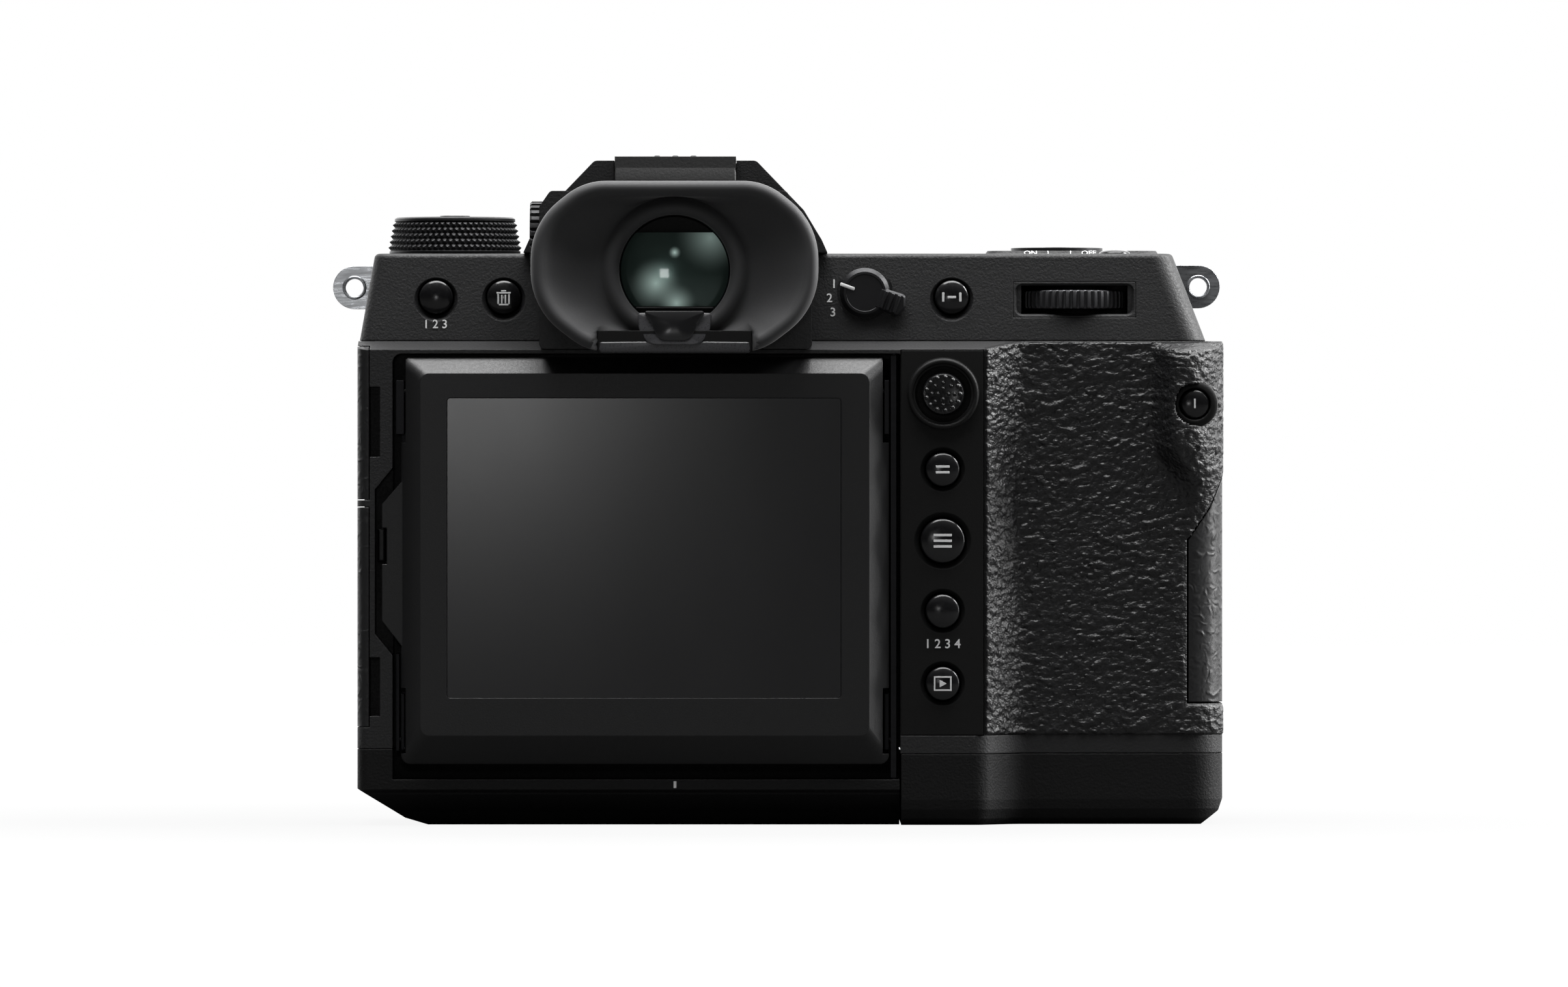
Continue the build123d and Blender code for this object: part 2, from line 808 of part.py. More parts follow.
with BuildPart() as battery_door_latch:
    block(latch_x, latch_y, (seam_gap, latch_thickness))
save(battery_door_latch, "battery_door_latch")

# Base under the grip, with the battery's opening and the door's recess
base_round_width = 3.9
base_round_height = 4.6
base_round_shares = [(0, 0), (0.79, 0.52), (1, 1)]
base_round = placed((right_x - base_round_width, right_x), (0, base_round_height), base_round_shares)
base_edge_height = 4.4
base_edge_inset = 1.8
base_edge_shares = [(0, 1), (0.25, 0.42), (0.62, 0.1), (1, 0)]
with BuildPart() as grip_base:
    loft(
        [
            outline(Plane.XY.offset(base_edge_height * up), plan_points, plan_radii, base_edge_inset * drawn_in)
            for up, drawn_in in base_edge_shares
        ],
        ruled=True,
    )
    plan_block((base_edge_height, grip_base_z))
    plan_block((battery_floor, grip_base_z + cut_over), wall, Mode.SUBTRACT)
    block((base_split_x, base_split_x + wall + seam_gap), (back_y + wall, front_y - wall), (0, grip_base_z))
    block(
        (battery_x[0] - clearance, battery_x[1] + clearance),
        (battery_y[0] - clearance, battery_y[1] + clearance),
        (-cut_over, grip_base_z),
        Mode.SUBTRACT,
    )
    block(
        (battery_door_x[0] - clearance, battery_door_x[1] + clearance),
        (battery_door_y[0] - clearance, battery_door_y[1] + clearance),
        (-cut_over, battery_door_thickness + clearance),
        Mode.SUBTRACT,
    )
    rod(
        battery_hinge_r + pin_fit,
        (hinge_x, battery_door_y[0] - battery_hinge_reach - pin_fit, battery_end_r),
        (hinge_x, battery_door_y[1] + battery_hinge_reach + pin_fit, battery_end_r),
        Mode.SUBTRACT,
    )
    block(
        (latch_x[0], latch_x[1] + clearance),
        (latch_y[0] - clearance, latch_y[1] + clearance),
        (-cut_over, latch_thickness + clearance),
        Mode.SUBTRACT,
    )
    prism(
        rear_plane(grip_front_y + cut_over),
        [
            (base_round[0][0], -cut_over),
            *base_round,
            (right_x + cut_over, base_round_height),
            (right_x + cut_over, -cut_over),
        ],
        0,
        grip_front_y - back_y + 2 * cut_over,
        Mode.SUBTRACT,
    )
    block(
        (left_x - cut_over, base_split_x + seam_gap),
        (back_y - cut_over, grip_front_y),
        (-cut_over, base_z),
        Mode.SUBTRACT,
    )
save(grip_base, "grip_base")

# Left base cover, with the lip below the screen and the tripod boss
lip_run = 5.6
lip_height = 6.2
lip_shares = [(0, 1), (0.14, 0.92), (0.14, 0.87), (0.71, 0.35), (0.89, 0.1), (1, 0)]
lip_points = placed((back_y, back_y + lip_run), (0, lip_height), lip_shares)
left_round_width = 12.3
left_round_height = 6.4
left_round_shares = [(0, 1), (0.675, 0.19), (1, 0)]
left_round = placed((left_x, left_x + left_round_width), (0, left_round_height), left_round_shares)
left_solid_z = 7.6
left_solid_x = -44.0
socket_r = 5.2
socket_bore_r = 2.6
socket_depth = 7.0
boss_r = 8.4
boss_top_z = 9.0
base_screw_r = 1.9
base_screw_depth = 1.0
base_screw_shares = [(0.165, 0.295), (0.165, 0.79), (0.816, 0.181), (0.921, 0.79)]
base_screw_places = placed((left_x, base_split_x), (back_y, front_y), base_screw_shares)
with BuildPart() as base_cover:
    plan_block((0, base_z))
    plan_block((floor_thickness, base_z + cut_over), wall, Mode.SUBTRACT)
    block(
        (left_x + wall, left_solid_x),
        (back_y + wall, front_y - wall),
        (floor_thickness / 2, left_solid_z),
    )
    block(
        (well_left_x - wall, base_split_x),
        (back_y + cut_over, well_inner_y),
        (floor_thickness / 2, base_z),
    )
    block(
        (base_split_x - wall, base_split_x),
        (well_inner_y, front_y - wall),
        (floor_thickness / 2, base_z),
    )
    rod(boss_r, (0, 0, floor_thickness / 2), (0, 0, boss_top_z))
    prism(
        rear_plane(well_floor_y),
        corners((well_left_x, base_split_x + cut_over), (well_bottom_z, seam_z)),
        0,
        well_floor_y - back_y + cut_over,
        Mode.SUBTRACT,
    )
    block(
        (base_split_x - seam_gap, right_x + cut_over),
        (back_y - cut_over, grip_front_y + cut_over),
        (-cut_over, base_z + cut_over),
        Mode.SUBTRACT,
    )
    prism(
        side_plane(left_x - cut_over),
        [
            (back_y - cut_over, -cut_over),
            (back_y + lip_run, -cut_over),
            *reversed(lip_points),
            (back_y - cut_over, lip_height),
        ],
        0,
        right_x - left_x,
        Mode.SUBTRACT,
    )
    prism(
        rear_plane(front_y + cut_over),
        [
            (left_x - cut_over, -cut_over),
            (left_x - cut_over, left_round_height),
            *left_round,
            (left_x + left_round_width, -cut_over),
        ],
        0,
        front_y - back_y + 2 * cut_over,
        Mode.SUBTRACT,
    )
    rod(ring_r + seam_gap, (0, shell_split_y, axis_z), (0, flange_y, axis_z), Mode.SUBTRACT)
    rod(socket_r + seam_gap, (0, 0, -cut_over), (0, 0, socket_depth + seam_gap), Mode.SUBTRACT)
    rod(
        swing_pin_r + pin_fit,
        (swing_x, swing_y, well_bottom_z + cut_over),
        (swing_x, swing_y, well_bottom_z - 2 * pin_seat),
        Mode.SUBTRACT,
    )
    for x, y in base_screw_places:
        rod(base_screw_r + seam_gap, (x, y, -cut_over), (x, y, base_screw_depth), Mode.SUBTRACT)
save(base_cover, "base_cover")

with BuildPart() as tripod_socket:
    rod(socket_r, (0, 0, 0), (0, 0, socket_depth))
    rod(socket_bore_r, (0, 0, -cut_over), (0, 0, socket_depth + cut_over), Mode.SUBTRACT)
save(tripod_socket, "tripod_socket")

# Screws in the mount ring and the base
with BuildPart() as case_screws:
    for turn in range(ring_screws):
        angle = radians(360 / ring_screws * (turn + 0.5))
        x = ring_screw_circle_r * cos(angle)
        z = axis_z + ring_screw_circle_r * sin(angle)
        rod(ring_screw_r - seam_gap, (x, flange_y - ring_screw_depth, z), (x, flange_y - seam_gap, z))
    for x, y in base_screw_places:
        rod(base_screw_r, (x, y, seam_gap), (x, y, base_screw_depth))
save(case_screws, "case_screws")

# Round buttons: a cap, and a flange that keeps it in behind its wall
button_r = 3.0
button_fit = 0.25
button_proud = 0.8
button_edge = 0.35
flange_rim = 0.8
flange_thickness = 0.7
dish_depth = 0.7


def rear_button(x, z, face_y, inner_y, cap_r):
    """A button in a wall between face_y and inner_y, facing back."""
    with BuildPart() as button:
        rod(cap_r, (x, inner_y + clearance, z), (x, face_y - button_proud, z))
        chamfer(button.faces().sort_by(Axis.Y)[0].edges(), button_edge)
        rod(cap_r + flange_rim, (x, inner_y + clearance, z), (x, inner_y + clearance + flange_thickness, z))
    return button


def cut_button_hole(x, z, face_y, inner_y, cap_r, dish_r):
    """The hole that a button slides in, with a shallow dish round its cap."""
    hole_r = cap_r + button_fit
    rod(hole_r, (x, face_y - dish_depth, z), (x, inner_y + cut_over, z), Mode.SUBTRACT)
    cone(
        2 * dish_r - hole_r,
        hole_r,
        (x, face_y - dish_depth, z),
        (x, face_y + dish_depth, z),
        Mode.SUBTRACT,
    )


# Button panel: each button's name, place along X and Z, cap radius and dish radius
panel_column_x = 46.9
ael_z = 62.3
menu_z = 49.8
display_z = 37.5
playback_z = 24.8
panel_dish_r = 3.9
menu_button_r = 3.93
menu_dish_r = 5.0
panel_buttons = [
    ("ael_button", panel_column_x, ael_z, button_r, panel_dish_r),
    ("menu_button", panel_column_x, menu_z, menu_button_r, menu_dish_r),
    ("display_button", panel_column_x, display_z, button_r, panel_dish_r),
    ("playback_button", panel_column_x, playback_z, button_r, panel_dish_r),
]
stick_x = 47.0
stick_z = 75.5
stick_cap_r = 3.7
stick_hole_r = 4.9
stick_ring_r = 6.3
stick_ring_proud = 0.6
stick_top_y = -35.3
stick_cap_thickness = 1.6
stick_stem_r = 1.3
stick_pivot_y = -29.5
stick_boss_back_y = -27.9
stick_boss_r = 5.0
gimbal_r = 3.4
gimbal_half = 0.9
gimbal_wall = 0.8
gimbal_pin_r = 0.4
stick_boss_inner_r = gimbal_r + clearance

with BuildPart() as button_panel:
    block(
        (base_split_x + seam_gap, block_right_x - seam_gap),
        (back_y, panel_front_y),
        (panel_bottom_z + seam_gap, ledge_z - seam_gap),
    )
    rod(stick_ring_r, (stick_x, back_y, stick_z), (stick_x, back_y - stick_ring_proud, stick_z))
    rod(stick_boss_r, (stick_x, back_y, stick_z), (stick_x, stick_boss_back_y, stick_z))
    rod(
        stick_hole_r,
        (stick_x, back_y - cut_over, stick_z),
        (stick_x, panel_front_y, stick_z),
        Mode.SUBTRACT,
    )
    rod(
        stick_boss_inner_r,
        (stick_x, back_y, stick_z),
        (stick_x, stick_boss_back_y + cut_over, stick_z),
        Mode.SUBTRACT,
    )
    rod(
        gimbal_pin_r + pin_fit,
        (stick_x - stick_ring_r, stick_pivot_y, stick_z),
        (stick_x + stick_ring_r, stick_pivot_y, stick_z),
        Mode.SUBTRACT,
    )
    for name, x, z, cap_r, dish_r in panel_buttons:
        cut_button_hole(x, z, back_y, panel_front_y, cap_r, dish_r)
save(button_panel, "button_panel")

for name, x, z, cap_r, dish_r in panel_buttons:
    save(rear_button(x, z, back_y, panel_front_y, cap_r), name)

# Joystick: the gimbal tips about X in its boss and the cap tips about Z in the gimbal
with BuildPart() as stick_gimbal:
    rod(
        gimbal_r,
        (stick_x, stick_pivot_y - gimbal_half, stick_z),
        (stick_x, stick_pivot_y + gimbal_half, stick_z),
    )
    rod(
        gimbal_r - gimbal_wall,
        (stick_x, stick_pivot_y - 2 * gimbal_half, stick_z),
        (stick_x, stick_pivot_y + 2 * gimbal_half, stick_z),
        Mode.SUBTRACT,
    )
    for side in (-1, 1):
        rod(
            gimbal_pin_r,
            (stick_x + side * (gimbal_r - gimbal_wall / 2), stick_pivot_y, stick_z),
            (stick_x + side * (gimbal_r + 2 * clearance), stick_pivot_y, stick_z),
        )
    rod(
        gimbal_pin_r + pin_fit,
        (stick_x, stick_pivot_y, stick_z - gimbal_r),
        (stick_x, stick_pivot_y, stick_z + gimbal_r),
        Mode.SUBTRACT,
    )
save(stick_gimbal, "stick_gimbal")

with BuildPart() as stick_cap:
    rod(stick_cap_r, (stick_x, stick_top_y + stick_cap_thickness, stick_z), (stick_x, stick_top_y, stick_z))
    chamfer(stick_cap.faces().sort_by(Axis.Y)[0].edges(), button_edge)
    rod(
        stick_stem_r,
        (stick_x, stick_pivot_y + gimbal_half, stick_z),
        (stick_x, stick_top_y + stick_cap_thickness, stick_z),
    )
    rod(
        gimbal_pin_r,
        (stick_x, stick_pivot_y, stick_z - gimbal_r + gimbal_wall / 4),
        (stick_x, stick_pivot_y, stick_z + gimbal_r - gimbal_wall / 4),
    )
save(stick_cap, "stick_cap")

quick_face_y = thumb_top_y + clearance
quick_foot_y = grip_back_y + grip_rear_r - 2 * clearance
with BuildPart() as quick_button:
    rod(quick_cap_r, (quick_x, quick_foot_y, quick_z), (quick_x, quick_face_y - button_proud, quick_z))
    chamfer(quick_button.faces().sort_by(Axis.Y)[0].edges(), button_edge)
    rod(
        quick_cap_r + flange_rim,
        (quick_x - 2 * flange_rim, quick_foot_y - flange_thickness, quick_z),
        (quick_x - 2 * flange_rim, quick_foot_y, quick_z),
    )
save(quick_button, "quick_button")

# Top cover: a hollow ruled shape between its foot and its deck
top_foot_inset = 3.1
top_foot_nose_inset = (2.0, 1.8)
top_foot_x = (left_x + seam_gap, right_x - top_foot_inset)
top_foot_nose_x = (grip_left_x + top_foot_nose_inset[0], right_x - top_foot_nose_inset[1])
top_foot_nose_y = 47.0
top_foot_valley_x = grip_left_x - cut_over
top_deck_inset = (2.8, 8.9)
top_deck_x = (left_x + top_deck_inset[0], right_x - top_deck_inset[1])
top_deck_nose_inset = 4.0
top_deck_nose_x = grip_left_x + top_deck_nose_inset
top_deck_nose_y = 36.0
top_deck_valley_x = top_foot_nose_x[0]
top_deck_front_y = 15.0
top_low = [
    (top_foot_x[0], top_rear_low_y),
    (top_foot_x[1], top_rear_low_y),
    (top_foot_nose_x[1], top_foot_nose_y),
    (top_foot_nose_x[0], top_foot_nose_y),
    (top_foot_valley_x, front_y),
    (top_foot_x[0], front_y),
]
top_high = [
    (top_deck_x[0], top_rear_high_y),
    (top_deck_x[1], top_rear_high_y),
    (top_deck_x[1], top_deck_nose_y),
    (top_deck_nose_x, top_deck_nose_y),
    (top_deck_valley_x, top_deck_front_y),
    (top_deck_x[0], top_deck_front_y),
]
top_radii = [2.5, 4.0, 10.0, 8.0, 5.0, 4.0]
top_edge_r = 0.9
plateau_inset = (2.8, 2.3)
plateau_x = (grip_left_x - plateau_inset[0], top_deck_x[1] - plateau_inset[1])
plateau_y = (-3.2, 32.0)
plateau_shares = [(0, 0), (1, 0), (1, 1), (0.3, 1), (0.25, 0.49), (0, 0.43)]
plateau = placed(plateau_x, plateau_y, plateau_shares)
plateau_radii = [3.0, 3.0, 6.0, 6.0, 3.0, 3.0]
plateau_height = 0.8
plateau_slope = 1.2
plateau_z = deck_z + plateau_height


def rear_face_y(z):
    """The top cover's sloping back at height z."""
    return top_rear_low_y + (top_rear_high_y - top_rear_low_y) * (z - seam_z) / (deck_z - seam_z)


def top_loft(inset):
    """The top cover's shape, drawn in by inset at its foot and its deck."""
    loft(
        [
            outline(Plane.XY.offset(seam_z), top_low, top_radii, inset),
            outline(Plane.XY.offset(deck_z), top_high, top_radii, inset),
        ],
        ruled=True,
    )


with BuildPart() as top_hollow:
    top_loft(wall)
    split(bisect_by=Plane.XY.offset(deck_z - wall), keep=Keep.BOTTOM)

# Buttons on the top cover's back: name, place along X and Z, cap radius, dish radius
top_row_height = 7.6
top_row_z = seam_z + top_row_height
drive_x = -42.1
delete_x = -30.2
af_on_x = 48.6
rear_dish_r = 3.8
top_rear_buttons = [
    ("drive_button", drive_x, top_row_z, button_r, rear_dish_r),
    ("delete_button", delete_x, top_row_z, button_r, rear_dish_r),
    ("af_on_button", af_on_x, top_row_z, button_r, rear_dish_r),
]
focus_x = 33.3
focus_height = 8.35
focus_z = seam_z + focus_height
focus_seat_r = 4.9
focus_seat_y = -23.1
focus_disc_r = 4.4
focus_disc_top_y = -25.2
focus_tip_reach = 6.5
focus_tip_width = 3.4
focus_tip_angle = -20.0
focus_shaft_r = 1.4
focus_nut_r = 2.4

# Dials: rear dial behind its window, front dial in the grip's nose, both turning about Z
rear_dial_inset = 12.2
rear_dial_x = grip_left_x + rear_dial_inset
rear_dial_y = -16.3
rear_dial_r = 9.05
rear_dial_width = 3.3
rear_dial_height = 5.5
rear_dial_z = (seam_z + rear_dial_height, seam_z + rear_dial_height + rear_dial_width)
rear_window_margin = 1.5
rear_window_z = (rear_dial_z[0] - rear_window_margin, rear_dial_z[1] + rear_window_margin)
rear_window_frame_x = 10.9
rear_recess_half_x = 10.8
rear_recess_depth = 0.9
front_dial_inset = 16.0
front_dial_x = grip_left_x + front_dial_inset
front_dial_y = 36.4
front_dial_r = 8.0
front_dial_width = 3.8
front_dial_height = 3.4
front_dial_z = (seam_z + front_dial_height, seam_z + front_dial_height + front_dial_width)
front_window_margin = 0.8
front_window_z = (front_dial_z[0] - front_window_margin, front_dial_z[1] + front_window_margin)
dial_housing_wall = 1.4
dial_hub_r = 2.2
dial_pin_r = 1.1
dial_tooth_depth = 0.5
dial_teeth = 36
dial_lift = 0.15

# Deck controls
mode_x = -39.2
mode_y = -4.0
mode_low_r = 12.0
mode_high_r = 10.7
mode_lift = 0.15
mode_height = 6.5
mode_z = (deck_z + mode_lift, deck_z + mode_lift + mode_height)
mode_shaft_r = 3.8
mode_nut_r = 5.4
mode_lock_r = 2.7
mode_lock_proud = 0.3
mode_lock_depth = 3.4
mode_lock_travel = 1.0
mode_rows = 5
top_button_inset = 19.5
top_button_x = grip_left_x + top_button_inset
top_button_y = -12.0
top_button_r = 2.8
shutter_inset = 9.9
shutter_x = grip_left_x + shutter_inset
shutter_y = 22.0
shutter_button_r = 5.0
shutter_dome_height = 1.0
shutter_dome_z = plateau_z + shutter_dome_height
shutter_well_r = 5.3
lever_inner_r = 5.7
lever_outer_r = 8.2
lever_height = 0.85
lever_top_z = plateau_z + lever_height
lever_tab_reach = 10.4
lever_tab_width = 4.6
window_x = (28.5, 53.5)
window_y = (-16.0, 8.0)
window_r = 1.5
window_thickness = 0.9
lug_overhang = 1.3
lug_inset = 3.8
lug_height = 9.55
lug_left = (left_x - lug_overhang, seam_z + lug_height)
lug_right = (right_x - lug_inset, seam_z + lug_height + seam_gap)
lug_hole_r = 1.55
lug_outer_r = 3.8
lug_half_y = 1.1
lug_y = -3.0
lug_root = 7.0
shoe_y = (-9.0, 9.5)
shoe_half_x = 10.65
shoe_floor = 1.0
shoe_slot_half_x = 9.33
shoe_slot_height = 2.1
shoe_lip = 1.2
shoe_lip_half_x = 6.25
shoe_stop_y = 14.0

lug_left_box = (lug_left[0], lug_left[0] + lug_root)
lug_right_box = (lug_right[0] - lug_root, lug_right[0])
with BuildPart() as top_cover:
    top_loft(0)
    fillet(top_cover.faces().sort_by(Axis.Z)[-1].edges(), top_edge_r)
    loft(
        [
            outline(Plane.XY.offset(deck_z - cut_over), plateau, plateau_radii, -plateau_slope),
            outline(Plane.XY.offset(plateau_z), plateau, plateau_radii),
        ],
        ruled=True,
    )
    add(top_hollow.part, mode=Mode.SUBTRACT)
    # Pockets for the two dials, each with its own floor and ceiling
    block(
        (rear_dial_x - rear_window_frame_x, rear_dial_x + rear_window_frame_x),
        (
            rear_face_y(rear_window_z[1]) + wall / 2,
            rear_dial_y + rear_dial_r + dial_housing_wall + clearance,
        ),
        (rear_window_z[0] - dial_housing_wall, rear_window_z[1] + dial_housing_wall),
    )
    block(
        (
            front_dial_x - front_dial_r - 2 * dial_housing_wall,
            front_dial_x + front_dial_r + dial_housing_wall,
        ),
        (front_dial_y - front_dial_r - dial_housing_wall - clearance, front_dial_y + dial_hub_r),
        (front_window_z[0] - dial_housing_wall, front_window_z[1] + dial_housing_wall),
    )
    for x, y, radius, window_z, outward in (
        (rear_dial_x, rear_dial_y, rear_dial_r, rear_window_z, -1),
        (front_dial_x, front_dial_y, front_dial_r, front_window_z, 1),
    ):
        rod(radius + clearance, (x, y, window_z[0]), (x, y, window_z[1]), Mode.SUBTRACT)
        reach = y + outward * 3 * radius
        block(
            (x - radius - clearance, x + radius + clearance),
            (min(y, reach), max(y, reach)),
            window_z,
            Mode.SUBTRACT,
        )
        rod(
            dial_pin_r + pin_fit,
            (x, y, window_z[0] - pin_seat),
            (x, y, window_z[1] + pin_seat),
            Mode.SUBTRACT,
        )
    block(
        (rear_dial_x - rear_recess_half_x, rear_dial_x + rear_recess_half_x),
        (top_rear_low_y - cut_over, rear_face_y(rear_dial_z[0]) + rear_recess_depth),
        rear_window_z,
        Mode.SUBTRACT,
    )
    rod(
        top_button_r + flange_rim + clearance,
        (top_button_x, top_button_y, deck_z - wall - clearance - 2 * flange_thickness - clearance),
        (top_button_x, top_button_y, deck_z - wall),
        Mode.SUBTRACT,
    )
    for name, x, z, cap_r, dish_r in top_rear_buttons:
        cut_button_hole(x, z, rear_face_y(z), rear_face_y(z) + wall, cap_r, dish_r)
    rod(
        focus_seat_r,
        (focus_x, top_rear_low_y - cut_over, focus_z),
        (focus_x, focus_seat_y, focus_z),
        Mode.SUBTRACT,
    )
    rod(
        focus_shaft_r + pin_fit,
        (focus_x, top_rear_low_y, focus_z),
        (focus_x, top_rear_low_y + 3 * wall, focus_z),
        Mode.SUBTRACT,
    )
    rod(
        mode_shaft_r + pin_fit,
        (mode_x, mode_y, seam_z),
        (mode_x, mode_y, deck_z + cut_over),
        Mode.SUBTRACT,
    )
    rod(
        top_button_r + button_fit,
        (top_button_x, top_button_y, seam_z),
        (top_button_x, top_button_y, deck_z + cut_over),
        Mode.SUBTRACT,
    )
    rod(
        shutter_well_r,
        (shutter_x, shutter_y, deck_z - wall - cut_over),
        (shutter_x, shutter_y, plateau_z + cut_over),
        Mode.SUBTRACT,
    )
    extrude(
        outline(Plane.XY.offset(deck_z - window_thickness), corners(window_x, window_y), window_r),
        amount=window_thickness + cut_over,
        mode=Mode.SUBTRACT,
    )
    for (x, z), box_x in ((lug_left, lug_left_box), (lug_right, lug_right_box)):
        block(
            box_x,
            (lug_y - lug_half_y - seam_gap, lug_y + lug_half_y + seam_gap),
            (z - lug_outer_r - seam_gap, z + lug_outer_r + seam_gap),
            Mode.SUBTRACT,
        )
save(top_cover, "top_cover")

for name, x, z, cap_r, dish_r in top_rear_buttons:
    inner_y = rear_face_y(z + cap_r + flange_rim) + wall
    save(rear_button(x, z, rear_face_y(z), inner_y, cap_r), name)

with BuildPart() as status_window:
    extrude(
        outline(Plane.XY.offset(deck_z - window_thickness), corners(window_x, window_y), window_r, seam_gap),
        amount=window_thickness,
    )
save(status_window, "status_window")

with BuildPart() as strap_eyelets:
    for (x, z), inward in ((lug_left, 1), (lug_right, -1)):
        near_y = lug_y - lug_half_y
        far_y = lug_y + lug_half_y
        rod(lug_outer_r, (x, near_y, z), (x, far_y, z))
        root = x + inward * (lug_root - seam_gap)
        block((min(x, root), max(x, root)), (near_y, far_y), (z - lug_outer_r, z + lug_outer_r))
        rod(lug_hole_r, (x, near_y - cut_over, z), (x, far_y + cut_over, z), Mode.SUBTRACT)
save(strap_eyelets, "strap_eyelets")

with BuildPart() as focus_lever:
    rod(focus_disc_r, (focus_x, focus_seat_y - clearance, focus_z), (focus_x, focus_disc_top_y, focus_z))
    with BuildSketch(rear_plane(focus_disc_top_y + clearance)):
        with Locations(Location((focus_x, focus_z, 0), (0, 0, focus_tip_angle))):
            SlotCenterPoint((focus_tip_reach / 2, 0), (focus_tip_reach, 0), focus_tip_width)
    extrude(amount=button_proud)
    rod(
        focus_shaft_r,
        (focus_x, focus_seat_y - clearance, focus_z),
        (focus_x, focus_seat_y + wall + clearance, focus_z),
    )
    rod(
        focus_nut_r,
        (focus_x, focus_seat_y + wall + clearance, focus_z),
        (focus_x, focus_seat_y + wall + clearance + flange_thickness, focus_z),
    )
save(focus_lever, "focus_lever")


def toothed_dial(x, y, radius, z):
    """A dial with straight teeth round its rim and a pin at each end of its axle."""
    window_z = rear_window_z if y < 0 else front_window_z
    with BuildPart() as dial:
        rod(radius, (x, y, z[0]), (x, y, z[1]))
        with Locations((x, y, (z[0] + z[1]) / 2)):
            with PolarLocations(radius, dial_teeth):
                Box(
                    2 * dial_tooth_depth,
                    dial_tooth_depth,
                    z[1] - z[0] + cut_over,
                    rotation=(0, 0, 45),
                    mode=Mode.SUBTRACT,
                )
        rod(dial_hub_r, (x, y, window_z[0] + dial_lift), (x, y, window_z[1] - dial_lift))
        rod(dial_pin_r, (x, y, window_z[0] - pin_seat / 2), (x, y, window_z[1] + pin_seat / 2))
    return dial


save(toothed_dial(rear_dial_x, rear_dial_y, rear_dial_r, rear_dial_z), "rear_dial")
save(toothed_dial(front_dial_x, front_dial_y, front_dial_r, front_dial_z), "front_dial")

# Mode dial, tapered, with grip rows cut round it, its shaft and its centre lock
mode_row_height = (mode_z[1] - mode_z[0]) / (mode_rows + 1)
mode_slope = (mode_low_r - mode_high_r) / (mode_z[1] - mode_z[0])
mode_groove = 0.25
with BuildPart() as mode_dial:
    cone(mode_low_r, mode_high_r, (mode_x, mode_y, mode_z[0]), (mode_x, mode_y, mode_z[1]))
    for row in range(1, mode_rows + 1):
        z = mode_z[0] + mode_row_height * row
        radius = mode_low_r - mode_slope * (z - mode_z[0])
        with BuildSketch(Plane.XZ.offset(-mode_y)) as groove:
            with Locations((mode_x + radius, z)):
                RegularPolygon(mode_groove, 4)
        revolve(groove.sketch, Axis((mode_x, mode_y, 0), (0, 0, 1)), mode=Mode.SUBTRACT)
    rod(mode_shaft_r, (mode_x, mode_y, mode_z[0]), (mode_x, mode_y, deck_z - wall - clearance))
    rod(
        mode_nut_r,
        (mode_x, mode_y, deck_z - wall - clearance),
        (mode_x, mode_y, deck_z - wall - clearance - flange_thickness),
    )
    rod(
        mode_lock_r + button_fit,
        (mode_x, mode_y, mode_z[1] - mode_lock_depth - mode_lock_travel),
        (mode_x, mode_y, mode_z[1] + cut_over),
        Mode.SUBTRACT,
    )
save(mode_dial, "mode_dial")

with BuildPart() as mode_dial_lock:
    rod(
        mode_lock_r,
        (mode_x, mode_y, mode_z[1] - mode_lock_depth + clearance),
        (mode_x, mode_y, mode_z[1] + mode_lock_proud),
    )
save(mode_dial_lock, "mode_dial_lock")

with BuildPart() as top_button:
    rod(
        top_button_r,
        (top_button_x, top_button_y, deck_z - wall - clearance),
        (top_button_x, top_button_y, deck_z + button_proud),
    )
    chamfer(top_button.faces().sort_by(Axis.Z)[-1].edges(), button_edge)
    rod(
        top_button_r + flange_rim,
        (top_button_x, top_button_y, deck_z - wall - clearance - flange_thickness),
        (top_button_x, top_button_y, deck_z - wall - clearance),
    )
save(top_button, "top_button")

with BuildPart() as shutter_button:
    rod(
        shutter_button_r,
        (shutter_x, shutter_y, deck_z - wall - clearance),
        (shutter_x, shutter_y, plateau_z),
    )
    cone(
        shutter_button_r,
        shutter_button_r / 2,
        (shutter_x, shutter_y, plateau_z),
        (shutter_x, shutter_y, shutter_dome_z),
    )
    rod(
        shutter_button_r + flange_rim / 2,
        (shutter_x + flange_rim, shutter_y, deck_z - wall - clearance - flange_thickness),
        (shutter_x + flange_rim, shutter_y, deck_z - wall - clearance),
    )
save(shutter_button, "shutter_button")

with BuildPart() as power_lever:
    rod(lever_outer_r, (shutter_x, shutter_y, plateau_z + dial_lift), (shutter_x, shutter_y, lever_top_z))
    block(
        (shutter_x - lever_tab_width / 2, shutter_x + lever_tab_width / 2),
        (shutter_y, shutter_y + lever_tab_reach),
        (plateau_z + dial_lift, lever_top_z),
    )
    rod(
        lever_inner_r,
        (shutter_x, shutter_y, plateau_z - cut_over),
        (shutter_x, shutter_y, lever_top_z + cut_over),
        Mode.SUBTRACT,
    )
save(power_lever, "power_lever")

# Lens release button beside the mount
release_front_y = 23.0
with BuildPart() as lens_release_button:
    rod(release_r, (release_x, ring_back_y - clearance, release_z), (release_x, release_front_y, release_z))
    chamfer(lens_release_button.faces().sort_by(Axis.Y)[-1].edges(), button_edge)
    rod(
        release_r + flange_rim,
        (release_x, ring_back_y - clearance - flange_thickness, release_z),
        (release_x, ring_back_y - clearance, release_z),
    )
save(lens_release_button, "lens_release_button")


